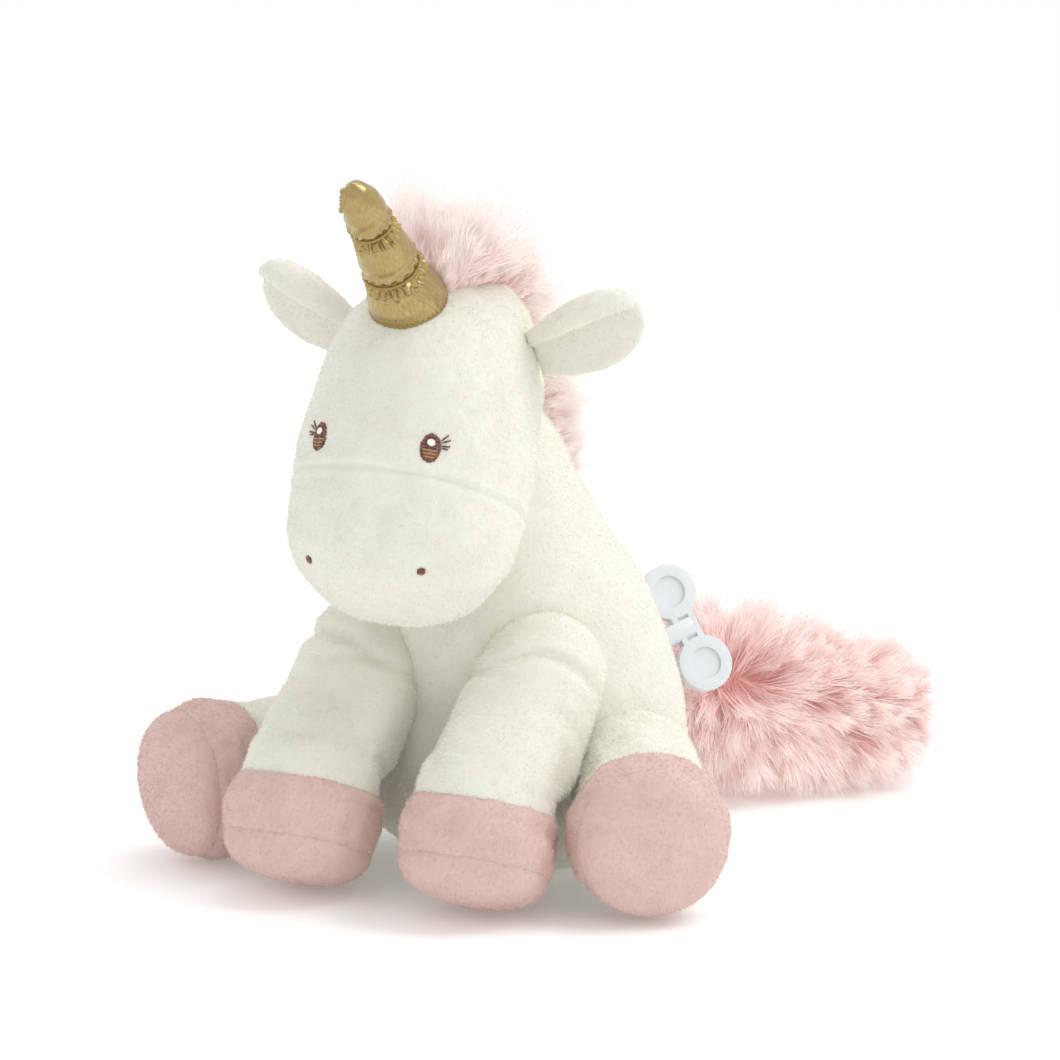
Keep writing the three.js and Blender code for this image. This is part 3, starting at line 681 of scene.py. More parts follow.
ear = {"voxel": 0.8 * mm, "softness": 0.6, "passes": 24, "fuller": 1.07}


def makeEar(side):
    form = cadCopy(f"ear_{side}_cover", f"ear_{side}_lining")
    piece = pieceFrom(f"ear{side.title()}Skin", form)
    remeshed(piece, ear["voxel"])
    relax = piece.modifiers.new("relax", "SMOOTH")
    relax.factor = ear["softness"]
    relax.iterations = ear["passes"]
    applied(piece)
    root = min((v.co for v in piece.data.vertices), key=lambda p: abs(p.x)).copy()
    for vertex in piece.data.vertices:
        vertex.co = root + (vertex.co - root) * ear["fuller"]
    paint(piece.data, creamVelour)
    smoothed(piece)
    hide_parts(f"ear_{side}_cover", f"ear_{side}_lining")
    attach(piece, f"ear_{side}")
    return piece


# ---- horn ----

horn = {"around": 240, "step": 0.4 * mm, "folds": 15, "foldDeep": 1.35 * mm, "puckers": 44,
        "edgeStitches": 90}


def hornFrame():
    rings = [[v.co for v in frame["nodes"][f"horn_thread_{k}"].data.vertices] for k in (1, 2)]
    necks = [sum(ring, Vector()) / len(ring) for ring in rings]
    axis = (necks[1] - necks[0]).normalized()
    corners = [(v.co - necks[0]).dot(axis) for v in frame["nodes"]["horn_cover"].data.vertices]
    start, end = min(corners), max(corners)
    return necks, axis, (start, end), necks[0] + axis * (start + 5 * mm)


def makeHorn():
    necks, axis, (start, end), _ = hornFrame()
    across = Vector((1, 0, 0))
    aside = axis.cross(across)
    tree = treeOf("horn_cover")
    gathers = [0.0, (necks[1] - necks[0]).length]
    count = int((end - start) / horn["step"])
    steps = [start + (end - start) * (i + 0.5) / count for i in range(count)]
    radii = []
    for t in steps:
        ways = [across * math.cos(a) + aside * math.sin(a) for a in (0.4, 1.3, 2.4, 3.5, 4.4, 5.5)]
        radii.append(max(reach(tree, necks[0] + axis * t, way) for way in ways))
    radii = softened(radii, 2)
    tipSeam = {"turn": math.pi * 1.12, "at": end - 7.5 * mm, "wide": 3.4 * mm, "tall": 6.2 * mm}

    def growAt(t, turn, radius):
        way = across * math.cos(turn) + aside * math.sin(turn)
        grow = 0.3 * mm * wobble((way.x * 9, way.y * 9, t / mm * 0.1), 6, 2)
        for k, place in enumerate(gathers):
            off = t - place - 0.9 * mm * wobble((way.x, way.y, k), 0.45, 9)
            phase = 3.0 * wobble((way.x, way.y, k), 0.55, 4)
            phase += 0.5 * off / mm * wobble((way.x, way.y, k), 0.3, 6)
            wave = math.sin(horn["folds"] * turn + phase)
            crinkle = wobble((way.x * radius, way.y * radius, off + k), 1.5 * mm, 12)
            fold = horn["foldDeep"] * (math.copysign(abs(wave) ** 0.75, wave) * 0.7 + crinkle * 0.9)
            # the satin bunches in a crinkled band under each thread, and the lobe above hangs over it
            grow += fold * bump(off + 3.4 * mm, 2.7 * mm)
            grow += 0.4 * fold * bump(off - 2.4 * mm, 2.4 * mm)
            grow += 0.9 * mm * bump(off + 3.6 * mm, 2.0 * mm)
            grow -= 0.9 * mm * bump(off + 0.4 * mm, 0.9 * mm)
            grow += 1.3 * mm * bump(off - 2.6 * mm, 1.9 * mm)
        arc = (turn - tipSeam["turn"]) * radius
        loop = math.hypot(arc / tipSeam["wide"], (t - tipSeam["at"]) / tipSeam["tall"])
        grow -= 0.7 * mm * bump(loop - 1, 0.16)
        grow += 0.45 * mm * bump(loop - 0.72, 0.14) * (1 + math.sin(t / mm * 5))
        pucker = 0.3 * mm * math.sin(horn["puckers"] * turn)
        return grow + pucker * bump(t - start - 5 * mm, 2.5 * mm)

    form = []
    for t, radius in zip(steps, radii):
        ring = []
        for i in range(horn["around"]):
            turn = 2 * math.pi * i / horn["around"]
            way = across * math.cos(turn) + aside * math.sin(turn)
            ring.append(necks[0] + axis * t + way * max(radius + growAt(t, turn, radius), 0.4 * mm))
        form.append(ring)
    piece = ringSkin("hornSatin", form, necks[0] + axis * start, necks[0] + axis * (end + 0.3 * mm), satin)
    layer = piece.data.uv_layers.new(name="weave")
    for loop in piece.data.loops:
        off = piece.data.vertices[loop.vertex_index].co - necks[0]
        angle = math.atan2(off.dot(aside), off.dot(across)) / (2 * math.pi) + 0.5
        layer.data[loop.index].uv = (angle, off.dot(axis) / (end - start))
    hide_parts("horn_cover", "horn_stuffing")
    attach(piece, "head")
    return piece


# ---- embroidery ----

# a geometry node tree that lays one rounded stitch along every point's "comb" vector
def stitchTree():
    tree = bpy.data.node_groups.new("stitches", "GeometryNodeTree")
    tree.interface.new_socket("Geometry", in_out="OUTPUT", socket_type="NodeSocketGeometry")
    sockets = {}
    for name, kind in (("Points", "Geometry"), ("Material", "Material")):
        socket = tree.interface.new_socket(name, in_out="INPUT", socket_type=f"NodeSocket{kind}")
        sockets[name] = socket.identifier
    given = addNode(tree, "NodeGroupInput").outputs
    grain = addNode(tree, "GeometryNodeMeshUVSphere", {"Segments": 6, "Rings": 5, "Radius": 0.5})
    comb = addNode(tree, "GeometryNodeInputNamedAttribute",
                   {"data_type": "FLOAT_VECTOR", "Name": "comb"}).outputs[0]
    thick = addNode(tree, "GeometryNodeInputNamedAttribute",
                    {"data_type": "FLOAT", "Name": "thick"}).outputs[0]
    turned = addNode(tree, "FunctionNodeAlignRotationToVector", {"axis": "Z"}, {"Vector": comb}).outputs[0]
    long = addNode(tree, "ShaderNodeVectorMath", {"operation": "LENGTH"}, {0: comb}).outputs["Value"]
    size = addNode(tree, "ShaderNodeCombineXYZ", None, {"X": thick, "Y": thick, "Z": long}).outputs[0]
    points = addNode(tree, "GeometryNodeMeshToPoints", None, {"Mesh": given["Points"]})
    laid = addNode(tree, "GeometryNodeInstanceOnPoints", None, {
        "Points": points.outputs[0], "Instance": grain.outputs["Mesh"], "Rotation": turned, "Scale": size})
    real = addNode(tree, "GeometryNodeRealizeInstances", None, {"Geometry": laid.outputs[0]})
    soft = addNode(tree, "GeometryNodeSetShadeSmooth", None, {0: real.outputs[0]})
    done = addNode(tree, "GeometryNodeSetMaterial", None,
                   {"Geometry": soft.outputs[0], "Material": given["Material"]})
    addNode(tree, "NodeGroupOutput", None, {0: done.outputs[0]})
    return tree, sockets


stitching = stitchTree()


# every stitch is (start, end, thickness, colour)
def sew(name, stitches, body, nodes=()):
    piece = newPiece(name, [(a + b) / 2 for a, b, _, _ in stitches], [])
    keepVectors(piece, "comb", [b - a for a, b, _, _ in stitches])
    thick = piece.data.attributes.new("thick", "FLOAT", "POINT")
    thick.data.foreach_set("value", [t for _, _, t, _ in stitches])
    shade = piece.data.attributes.new("shade", "FLOAT_COLOR", "POINT")
    shade.data.foreach_set("color", [c for _, _, _, code in stitches for c in linear(code)])
    tree, sockets = stitching
    modifier = piece.modifiers.new("stitches", "NODES")
    modifier.node_group = tree
    modifier[sockets["Material"]] = thread
    applied(piece)
    if nodes:
        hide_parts(*nodes)
    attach(piece, body)
    return piece


# a flat patch of the head to embroider on: maps millimetres across and up to points on the skin
def clothPatch(tree, centre, side):
    spot, normal, _, _ = tree.find_nearest(centre)
    outer = Vector((side, 0, 0)) - normal * normal.x * side
    outer.normalize()
    up = normal.cross(outer) * side
    up = up if up.z > 0 else -up

    def at(u, v, lift=0.25):
        point = spot + outer * u * mm + up * v * mm
        near, out, _, _ = tree.find_nearest(point)
        return near + out * lift * mm

    return at


eye = {  # mm; a lash is where it starts and how far it goes
    "wide": 3.9, "tall": 5.3, "rim": 1.35, "stitches": 46, "rowStep": 0.62,
    "lashes": [(3.2, 3.0, 2.2, 2.3), (3.5, 2.3, 2.9, 1.5), (3.8, 1.3, 2.6, 0.2), (3.9, 0.7, 2.0, -0.3)],
    "lashEnds": [(5.4, 5.3, 0.5, -0.5), (6.4, 3.8, 0.2, -0.6), (6.5, 1.5, 0.1, -0.9), (5.9, 0.4, 0.5, 0.4)],
    "rimBrowns": ["#6a3d31", "#7c4c3d", "#5a3128", "#8d6049"],
    "upperBrowns": ["#5f3629", "#8a5443"], "lowerBrowns": ["#7a5236", "#b98d5f"],
}


def makeEye(side, tree):
    sign = 1 if side == "left" else -1
    low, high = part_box(f"eye_{side}")
    at = clothPatch(tree, (low + high) / 2, sign)
    dice = random.Random(4 + sign)
    sewn = []
    for i in range(eye["stitches"]):
        turn = 2 * math.pi * i / eye["stitches"]
        inner = 1 - eye["rim"] / eye["wide"] * dice.uniform(0.9, 1.1)
        outer = dice.uniform(0.97, 1.04)
        c, s = math.cos(turn), math.sin(turn)
        code = dice.choice(eye["rimBrowns"])
        sewn.append((at(eye["wide"] * inner * c, eye["tall"] * inner * s, 0.3),
                     at(eye["wide"] * outer * c, eye["tall"] * outer * s, 0.1), 0.62 * mm, code))
    rows = int(2 * (eye["tall"] - eye["rim"] * 0.7) / eye["rowStep"])
    for k in range(rows):
        v = -eye["tall"] + eye["rim"] * 0.8 + (k + 0.5) * eye["rowStep"]
        height = v / (eye["tall"] - eye["rim"] * 0.5)
        half = (eye["wide"] - eye["rim"] * 0.6) * math.sqrt(max(0, 1 - height ** 2))
        if half < 0.5:
            continue
        code = eye["lowerBrowns" if v < -0.8 else "upperBrowns"][k % 2]
        cut = dice.uniform(-0.4, 0.4)
        tilt = 0.12 * (-1) ** k
        sewn.append((at(-half, v - tilt, 0.3), at(cut + 0.2, v + tilt, 0.42), 0.66 * mm, code))
        sewn.append((at(cut - 0.2, v + tilt, 0.42), at(half, v - tilt, 0.3), 0.66 * mm, code))
    for u, v, du, dv in eye["lashes"]:
        sewn.append((at(u, v, 0.2), at(u + du, v + dv, 0.3), 0.72 * mm, "#6d4a3a"))
    for u, v, du, dv in eye["lashEnds"]:
        sewn.append((at(u - du / 2, v - dv / 2, 0.3), at(u + du / 2, v + dv / 2, 0.3), 0.6 * mm, "#7d5a48"))
    sew(f"eye{side.title()}Stitches", sewn, "head", [f"eye_{side}"])
    glint = []
    for k in range(7):
        u = -1.15 + 2.3 * k / 6
        half = 1.45 * math.sqrt(1 - (u / 1.4) ** 2)
        glint.append((at(u + 0.1, 1.9 - half, 0.75), at(u - 0.1, 1.9 + half, 0.75), 0.6 * mm, "#f2f1ef"))
    sew(f"eyeGlint{side.title()}", glint, "head", [f"eye_highlight_{side}"])


def makeNostril(side, tree):
    sign = 1 if side == "left" else -1
    low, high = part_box(f"nostril_{side}")
    at = clothPatch(tree, (low + high) / 2, sign)
    sewn = []
    for k in range(6):
        u = -1.2 + 2.4 * k / 5
        half = 1.6 * math.sqrt(1 - (u / 1.7) ** 2)
        code = ["#6d4230", "#86563e"][k % 2]
        sewn.append((at(u - 0.1, -half, 0.3), at(u + 0.1, half, 0.3), 0.62 * mm, code))
    sew(f"nostril{side.title()}Stitches", sewn, "head", [f"nostril_{side}"])


# a fine zigzag holds the horn's edge down on the head
def makeHornEdge(hornPiece, tree):
    necks, axis, (start, _), _ = hornFrame()
    across = Vector((1, 0, 0))
    aside = axis.cross(across)
    horned = pieceTree(hornPiece)
    count = horn["edgeStitches"]
    edge = []
    for i in range(count):
        turn = 2 * math.pi * i / count
        way = across * math.cos(turn) + aside * math.sin(turn)
        found = None
        for k in range(60):
            middle = necks[0] + axis * (-2 * mm - k * 0.5 * mm)
            point = middle + way * reach(horned, middle, way)
            near, out, _, _ = tree.find_nearest(point)
            found = (point, out)
            if (point - near).dot(out) < 0.5 * mm:
                break
        edge.append(found)
    sewn = []
    for i in range(count):
        (a, n), (b, m) = edge[i], edge[(i + 1) % count]
        up, down = axis * 0.7 * mm, -axis * 0.5 * mm
        first, second = (up, down) if i % 2 else (down, up)
        sewn.append((a + first + n * 0.3 * mm, b + second + m * 0.3 * mm, 0.5 * mm, "#a98d4f"))
    sew("hornEdgeStitches", sewn, "head")


# ---- fur and pile ----

# a geometry node tree that plants flat tapering hairs on a surface, along its "comb" vectors
def hairTree(segments):
    tree = bpy.data.node_groups.new(f"hairs{segments}", "GeometryNodeTree")
    sockets = {}
    tree.interface.new_socket("Geometry", in_out="OUTPUT", socket_type="NodeSocketGeometry")
    for name, kind in (("Surface", "Geometry"), ("Hairs per square metre", "Float"), ("Width", "Float"),
                       ("Curl", "Float"), ("Locks per square metre", "Float"), ("Lock pull", "Float"),
                       ("Stray", "Float"), ("Seed", "Int"), ("Material", "Material")):
        socket = tree.interface.new_socket(name, in_out="INPUT", socket_type=f"NodeSocket{kind}")
        sockets[name] = socket.identifier
    given = addNode(tree, "NodeGroupInput").outputs
    comb = addNode(tree, "GeometryNodeInputNamedAttribute",
                   {"data_type": "FLOAT_VECTOR", "Name": "comb"}).outputs[0]
    length = addNode(tree, "ShaderNodeVectorMath", {"operation": "LENGTH"}, {0: comb}).outputs["Value"]
    bare = addNode(tree, "ShaderNodeMath", {"operation": "GREATER_THAN", 1: 0.7 * mm}, {0: length}).outputs[0]
    dense = addNode(tree, "ShaderNodeMath", {"operation": "MULTIPLY"},
                    {0: bare, 1: given["Hairs per square metre"]})
    scatter = addNode(tree, "GeometryNodeDistributePointsOnFaces", None, {
        "Mesh": given["Surface"], "Density": dense.outputs[0], "Seed": given["Seed"]})
    locks = addNode(tree, "GeometryNodeDistributePointsOnFaces", None, {
        "Mesh": given["Surface"], "Density": given["Locks per square metre"], "Seed": given["Seed"]})

    # one hair: a flat blade that tapers and bends towards its tip
    blade = addNode(tree, "GeometryNodeMeshGrid", {"Vertices X": 2, "Vertices Y": segments + 1})
    spot = addNode(tree, "ShaderNodeSeparateXYZ", None,
                   {0: addNode(tree, "GeometryNodeInputPosition").outputs[0]})
    along = addNode(tree, "ShaderNodeMath", {"operation": "ADD", 1: 0.5}, {0: spot.outputs["Y"]}).outputs[0]
    kept = addNode(tree, "GeometryNodeStoreNamedAttribute",
                   {"data_type": "FLOAT", "domain": "POINT", "Name": "along"},
                   {"Geometry": blade.outputs["Mesh"], "Value": along})
    squared = addNode(tree, "ShaderNodeMath", {"operation": "MULTIPLY"}, {0: along, 1: along}).outputs[0]
    thin = addNode(tree, "ShaderNodeMath", {"operation": "MULTIPLY_ADD", 1: -0.75, 2: 1.0},
                   {0: squared}).outputs[0]
    wide = addNode(tree, "ShaderNodeMath", {"operation": "MULTIPLY"},
                   {0: spot.outputs["X"], 1: thin}).outputs[0]
    bend = addNode(tree, "ShaderNodeMath", {"operation": "MULTIPLY"},
                   {0: squared, 1: given["Curl"]}).outputs[0]
    shaped = addNode(tree, "ShaderNodeCombineXYZ", None, {"X": wide, "Y": bend, "Z": along}).outputs[0]
    hair = addNode(tree, "GeometryNodeSetPosition", None,
                   {"Geometry": kept.outputs["Geometry"], "Position": shaped})

    # hairs lean towards the tip of their lock, and a few stray
    place = addNode(tree, "GeometryNodeInputPosition").outputs[0]
    nearest = addNode(tree, "GeometryNodeSampleNearest", None,
                      {"Geometry": locks.outputs["Points"]}).outputs["Index"]
    lockVary = addNode(tree, "FunctionNodeRandomValue", {"data_type": "FLOAT", 2: 0.84, 3: 1.04, "Seed": 7},
                       {"ID": nearest}).outputs[1]
    lockRoot = addNode(tree, "GeometryNodeSampleIndex", {"data_type": "FLOAT_VECTOR"}, {
        "Geometry": locks.outputs["Points"], "Value": place, "Index": nearest}).outputs[0]
    lockComb = addNode(tree, "GeometryNodeSampleIndex", {"data_type": "FLOAT_VECTOR"}, {
        "Geometry": locks.outputs["Points"], "Value": comb, "Index": nearest}).outputs[0]
    lean = addNode(tree, "FunctionNodeRandomValue", {"data_type": "FLOAT_VECTOR", 0: (-0.4, -0.4, -0.4),
                   1: (0.4, 0.4, 0.4), "Seed": 21}, {"ID": nearest}).outputs[0]
    lockLong = addNode(tree, "ShaderNodeVectorMath", {"operation": "LENGTH"}, {0: lockComb}).outputs["Value"]
    leaned = addNode(tree, "ShaderNodeVectorMath", {"operation": "SCALE"},
                     {0: lean, "Scale": lockLong}).outputs[0]
    lockWay = addNode(tree, "ShaderNodeVectorMath", {"operation": "ADD"}, {0: lockComb, 1: leaned}).outputs[0]
    lockTip = addNode(tree, "ShaderNodeVectorMath", {"operation": "SCALE"},
                      {0: lockWay, "Scale": lockVary}).outputs[0]
    tip = addNode(tree, "ShaderNodeVectorMath", {"operation": "ADD"}, {0: lockRoot, 1: lockTip}).outputs[0]
    pulled = addNode(tree, "ShaderNodeVectorMath", {"operation": "SUBTRACT"}, {0: tip, 1: place}).outputs[0]
    mixed = addNode(tree, "ShaderNodeMix", {"data_type": "VECTOR"}, {
        "Factor": given["Lock pull"], 4: comb, 5: pulled}).outputs[1]
    stray = addNode(tree, "FunctionNodeRandomValue",
                    {"data_type": "FLOAT_VECTOR", 0: (-1, -1, -1), 1: (1, 1, 1)},
                    {"Seed": given["Seed"]}).outputs[0]
    far = addNode(tree, "ShaderNodeMath", {"operation": "MULTIPLY"},
                  {0: length, 1: given["Stray"]}).outputs[0]
    strayed = addNode(tree, "ShaderNodeVectorMath", {"operation": "SCALE"},
                      {0: stray, "Scale": far}).outputs[0]
    way = addNode(tree, "ShaderNodeVectorMath", {"operation": "ADD"}, {0: mixed, 1: strayed}).outputs[0]
    kept = addNode(tree, "GeometryNodeStoreNamedAttribute", {"data_type": "FLOAT_VECTOR", "domain": "POINT",
                   "Name": "way"}, {"Geometry": scatter.outputs["Points"], "Value": way})
    # the tone varies a little from hair to hair and more from lock to lock
    hairTone = addNode(tree, "FunctionNodeRandomValue", {"data_type": "FLOAT", "Seed": 11}).outputs[1]
    lockTone = addNode(tree, "FunctionNodeRandomValue", {"data_type": "FLOAT", "Seed": 12},
                       {"ID": nearest}).outputs[1]
    tone = addNode(tree, "ShaderNodeMath", {"operation": "MULTIPLY_ADD", 1: 0.45},
                   {0: hairTone, 2: addNode(tree, "ShaderNodeMath", {"operation": "MULTIPLY", 1: 0.55},
                    {0: lockTone}).outputs[0]}).outputs[0]
    toned = addNode(tree, "GeometryNodeStoreNamedAttribute",
                    {"data_type": "FLOAT", "domain": "POINT", "Name": "tone"},
                    {"Geometry": kept.outputs[0], "Value": tone})
    # hairs of one lock face about the same way, so that they catch the light together
    final = addNode(tree, "GeometryNodeInputNamedAttribute",
                    {"data_type": "FLOAT_VECTOR", "Name": "way"}).outputs[0]
    aligned = addNode(tree, "FunctionNodeAlignRotationToVector", {"axis": "Z"}, {"Vector": final}).outputs[0]
    lockSpin = addNode(tree, "FunctionNodeRandomValue", {"data_type": "FLOAT", 2: 0.0, 3: 6.283, "Seed": 31},
                       {"ID": nearest}).outputs[1]
    hairSpin = addNode(tree, "FunctionNodeRandomValue",
                       {"data_type": "FLOAT", 2: -0.9, 3: 0.9, "Seed": 32}).outputs[1]
    spin = addNode(tree, "ShaderNodeMath", {"operation": "ADD"}, {0: lockSpin, 1: hairSpin}).outputs[0]
    spinTurn = addNode(tree, "ShaderNodeCombineXYZ", None, {"Z": spin}).outputs[0]
    turned = addNode(tree, "FunctionNodeRotateRotation", {"rotation_space": "LOCAL"}, {
        "Rotation": aligned, "Rotate By": addNode(tree, "FunctionNodeEulerToRotation", None,
                                                  {0: spinTurn}).outputs[0]})
    finalLong = addNode(tree, "ShaderNodeVectorMath", {"operation": "LENGTH"}, {0: final}).outputs["Value"]
    vary = addNode(tree, "FunctionNodeRandomValue",
                   {"data_type": "FLOAT", 2: 0.84, 3: 1.0, "Seed": 5}).outputs[1]
    long = addNode(tree, "ShaderNodeMath", {"operation": "MULTIPLY"}, {0: finalLong, 1: vary}).outputs[0]
    size = addNode(tree, "ShaderNodeCombineXYZ", None, {"X": given["Width"], "Y": long, "Z": long}).outputs[0]
    planted = addNode(tree, "GeometryNodeInstanceOnPoints", None, {
        "Points": toned.outputs[0], "Instance": hair.outputs[0], "Rotation": turned.outputs[0],
        "Scale": size})
    real = addNode(tree, "GeometryNodeRealizeInstances", None, {"Geometry": planted.outputs[0]})
    # hairs that would go through the floor lie down on it
    end = addNode(tree, "ShaderNodeSeparateXYZ", None,
                  {0: addNode(tree, "GeometryNodeInputPosition").outputs[0]})
    above = addNode(tree, "ShaderNodeMath", {"operation": "MAXIMUM", 1: 0.4 * mm},
                    {0: end.outputs["Z"]}).outputs[0]
    resting = addNode(tree, "ShaderNodeCombineXYZ", None, {
        "X": end.outputs["X"], "Y": end.outputs["Y"], "Z": above}).outputs[0]
    laid = addNode(tree, "GeometryNodeSetPosition", None, {"Geometry": real.outputs[0], "Position": resting})
    done = addNode(tree, "GeometryNodeSetMaterial", None,
                   {"Geometry": laid.outputs[0], "Material": given["Material"]})
    addNode(tree, "NodeGroupOutput", None, {0: done.outputs[0]})
    return tree, sockets


longHairs = hairTree(3)
shortHairs = hairTree(1)


def plant(name, surface, trees, values):
    tree, sockets = trees
    piece = bpy.data.objects.new(name, surface.data.copy())
    scene.collection.objects.link(piece)
    modifier = piece.modifiers.new("hairs", "NODES")
    modifier.node_group = tree
    for key, value in values.items():
        modifier[sockets[key]] = value
    applied(piece)
    return piece


def keepVectors(piece, name, vectors):
    layer = piece.data.attributes.get(name) or piece.data.attributes.new(name, "FLOAT_VECTOR", "POINT")
    layer.data.foreach_set("vector", [c for v in vectors for c in v])


# the backing the fur is woven into: the CAD form drawn in towards what carries it; where the fur would be
# shorter than the stubble, hairs of that length stand straight up
def furBacking(name, nodes, carriers, share, voxel, flow, stubble=0):
    form = cadCopy(*nodes)
    piece = pieceFrom(name, form)
    remeshed(piece, voxel)
    relax = piece.modifiers.new("relax", "SMOOTH")
    relax.iterations = 6
    applied(piece)
    tree = treeOf(*carriers)
    combs = []
    for vertex in piece.data.vertices:
        inner = tree.find_nearest(vertex.co)[0]
        out = (vertex.co - inner) * share
        bald = out.length < stubble
        combs.append(vertex.normal * stubble if bald else out + flow(vertex.co, out))
        vertex.co = vertex.co - out
    keepVectors(piece, "comb", combs)
    smoothed(piece)
    return piece


def laidOver(spread, out):
    flat = spread - out * (spread.dot(out) / max(out.length_squared, 1e-12))
    return flat.normalized() if flat.length > 1e-9 else Vector()


tailFur = {  # the whorl is where the fur parts, in mm; each coat is one layer of hairs
    "share": 0.8, "lay": 1.1, "width": 0.4 * mm, "voxel": 2.5 * mm, "stubble": 4 * mm, "whorl": (52, 82, 56),
    "hairs": 2.5e6,
    "coats": {
        "tailFurOuter": {"Curl": 0.3, "Locks per square metre": 3.4e4, "Lock pull": 0.88, "Stray": 0.05,
                         "Seed": 3},
        "tailFurUnder": {"Curl": 0.35, "Locks per square metre": 9e4, "Lock pull": 0.75, "Stray": 0.12,
                         "Seed": 14},
    },
}
maneFur = {  # node, body, what carries it and how far its hairs lean up
    "share": 0.85, "lay": 0.45, "width": 0.36 * mm, "voxel": 2 * mm, "hairs": 7.5e6,
    "coat": {"Curl": 0.35, "Locks per square metre": 1.5e5, "Lock pull": 0.62, "Stray": 0.1, "Seed": 8},
    "strips": [("mane_crest", "head", "head_cover", 0.0), ("mane_neck", "torso", "body_cover", 0.25)],
}


def makeTailFur():
    hinge = Vector(next(j for name, j in joints.items() if name.startswith("tail"))["pos_m"])
    whorl = Vector(tailFur["whorl"]) * mm

    def flow(point, out):
        clear = min(1, max(0, ((point - hinge).length - 22 * mm) / (24 * mm)))
        return laidOver(point - whorl, out) * out.length * tailFur["lay"] * clear

    backing = furBacking("tailBacking", ["tail_fur", "tail_core"], ["tail_core"], tailFur["share"],
                         tailFur["voxel"], flow, tailFur["stubble"])
    furs = [plant(name, backing, longHairs, {
        "Hairs per square metre": tailFur["hairs"], "Width": tailFur["width"], "Material": tailPink, **coat})
        for name, coat in tailFur["coats"].items()]
    print("tail hair faces", [len(fur.data.polygons) for fur in furs])
    paint(backing.data, tailPink)
    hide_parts("tail_fur")
    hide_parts("tail_core")
    for piece in (*furs, backing):
        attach(piece, "tail")


def makeMane():
    for node, body, carrier, lean in maneFur["strips"]:
        def flow(point, out):
            spread = Vector((point.x * 2, 0.3 * out.length, lean * out.length))
            return laidOver(spread, out) * out.length * maneFur["lay"]

        backing = furBacking(f"{body}ManeBacking", [node], [carrier], maneFur["share"], maneFur["voxel"],
                             flow)
        fur = plant(f"{body}ManeFur", backing, longHairs, {
            "Hairs per square metre": maneFur["hairs"], "Width": maneFur["width"], "Material": manePink,
            **maneFur["coat"]})
        print(node, "hair faces", len(fur.data.polygons))
        paint(backing.data, manePink)
        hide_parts(node)
        for piece in (fur, backing):
            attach(piece, body)


pile = {
    "long": 0.8 * mm, "nap": 0.6 * mm, "width": 0.2 * mm, "hairs": 1.2e6,
    "coat": {"Curl": 0.12, "Locks per square metre": 2e5, "Lock pull": 0.2, "Stray": 0.14, "Seed": 2},
}


# the sheared pile that stands on the velour, so its edge against the light is soft
def growPile(piece, body, slotName, shorter=None):
    vectors = []
    for vertex in piece.data.vertices:
        out = vertex.normal * (1 - (shorter(vertex.co) if shorter else 0))
        brushed = Vector((wobble(vertex.co, 25 * mm, 1), wobble(vertex.co, 25 * mm, 2), 0))
        nap = laidOver(-upWay + 0.8 * brushed, out)
        vectors.append(out * pile["long"] + nap * pile["nap"] * out.length)
    keepVectors(piece, "comb", vectors)
    fur = plant(piece.name.replace("Skin", "") + "Pile", piece, shortHairs, {
        "Hairs per square metre": pile["hairs"], "Width": pile["width"],
        "Material": creamPile if slotName == "cream_plush" else pinkPile, **pile["coat"]})
    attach(fur, body)
    return fur


# ---- key and movement ----

def makeHard(name, node, material, width):
    form = cadCopy(node)
    bmesh.ops.dissolve_limit(form, angle_limit=math.radians(2), verts=form.verts, edges=form.edges)
    piece = pieceFrom(name, form)
    bevel = piece.modifiers.new("bevel", "BEVEL")
    bevel.width = width
    bevel.segments = 3
    bevel.limit_method = "ANGLE"
    bevel.angle_limit = math.radians(35)
    applied(piece)
    paint(piece.data, material)
    smoothed(piece)
    piece.data.set_sharp_from_angle(angle=math.radians(32))
    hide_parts(node)
    return piece


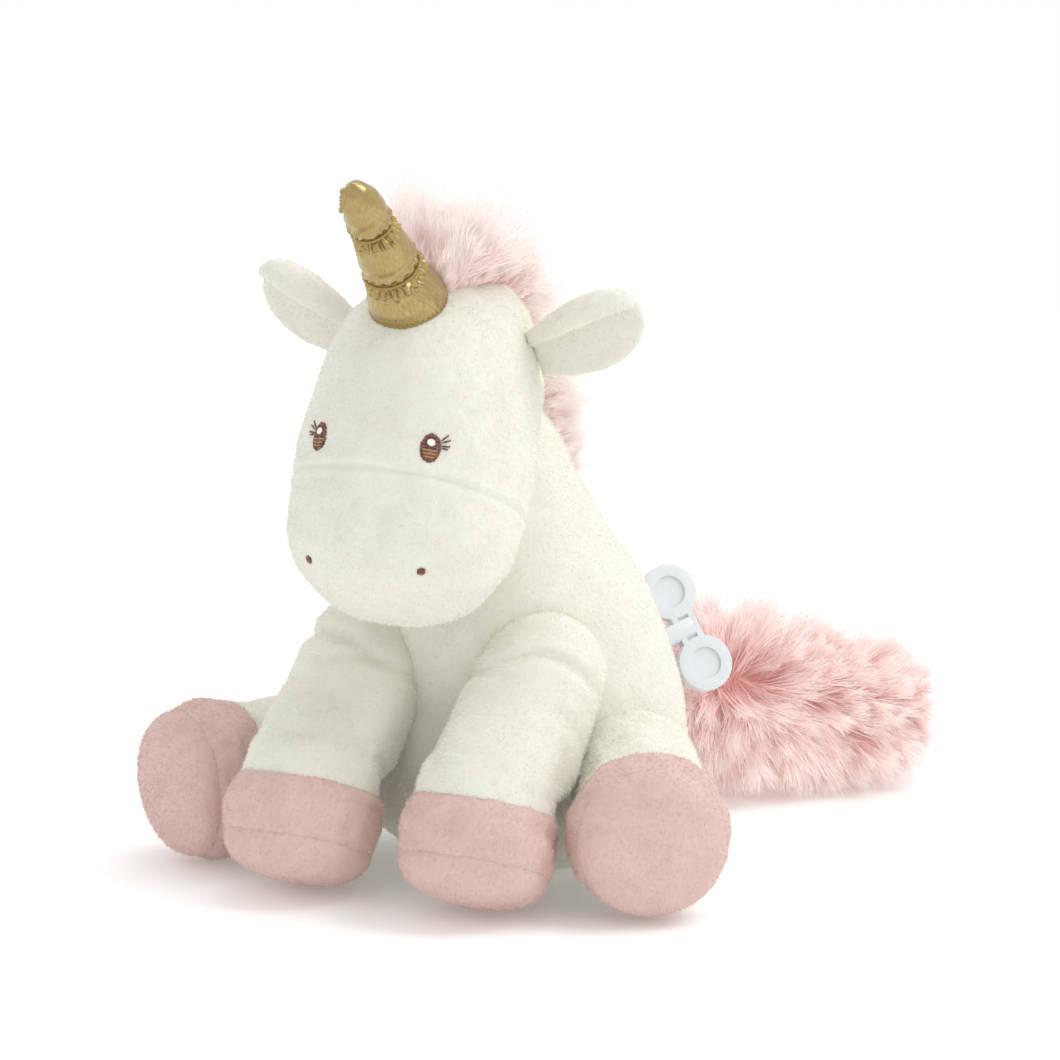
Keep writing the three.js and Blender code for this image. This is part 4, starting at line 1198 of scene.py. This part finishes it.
def makeKey():
    key = makeHard("keyWings", "winding_key", keyPlastic, 0.6 * mm)
    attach(key, "key")
    collar = makeHard("keyCollar", "key_collar", keyPlastic, 0.3 * mm)
    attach(collar, "torso")


def paintWorks():
    finishes = {
        "case_back": casePlastic, "case_front": casePlastic, "bedplate": springSteel, "comb": springSteel,
        "comb_screw_1": springSteel, "comb_screw_2": springSteel, "mainspring": springSteel,
        "governor_bracket": springSteel, "winding_shaft": springSteel, "spring_cup": turnedBrass,
        "great_gear": turnedBrass, "pinned_cylinder": turnedBrass, "governor_fan": turnedBrass,
        "horn_thread_1": goldThread, "horn_thread_2": goldThread,
    }
    for node, material in finishes.items():
        paint(frame["nodes"][node].data, material)


makeStudio()
print("studio ready")
torsoSkin = makeTorso()
print("torso ready")
legs = {f"{which}_leg_{side}": makeLeg(which, side) for which in ("front", "back") for side in ("left",
    "right")}
print("legs ready")
headSkin = makeHead()
seamAt, seamNormal = seamPlane()
jobs = [(torsoSkin, lambda p: 1.0 if p.z < 4 * mm else 0.0, 0.8)]
jobs.append((headSkin, lambda p: 1.0 if abs((p - seamAt).dot(seamNormal)) < 3 * mm else 0.0, 0.45))
for (cover, hoof, _), held in legs.values():
    jobs += [(cover, held, 1.0), (hoof, held, 1.0)]
stuff(jobs)
print("covers filled")
earSkins = [makeEar(side) for side in ("left", "right")]
hornSkin = makeHorn()
headTree = pieceTree(headSkin)
for side in ("left", "right"):
    makeEye(side, headTree)
    makeNostril(side, headTree)
makeHornEdge(hornSkin, headTree)
print("head ready")
makeTailFur()
makeMane()
print("fur ready")
makeKey()
paintWorks()
print("key ready")

creams = [(torsoSkin, "torso"), (headSkin, "head"), (earSkins[0], "ear_left"), (earSkins[1], "ear_right")]
for body, ((cover, hoof, sole), _) in legs.items():
    creams.append((cover, body))
    for piece in (hoof, sole):
        growPile(piece, body, "pink_plush")
for piece, body in creams:
    nearSeam = (lambda p: 0.8 * bump((p - seamAt).dot(seamNormal), 1.8 * mm)) if body == "head" else None
    growPile(piece, body, "cream_plush", nearSeam)
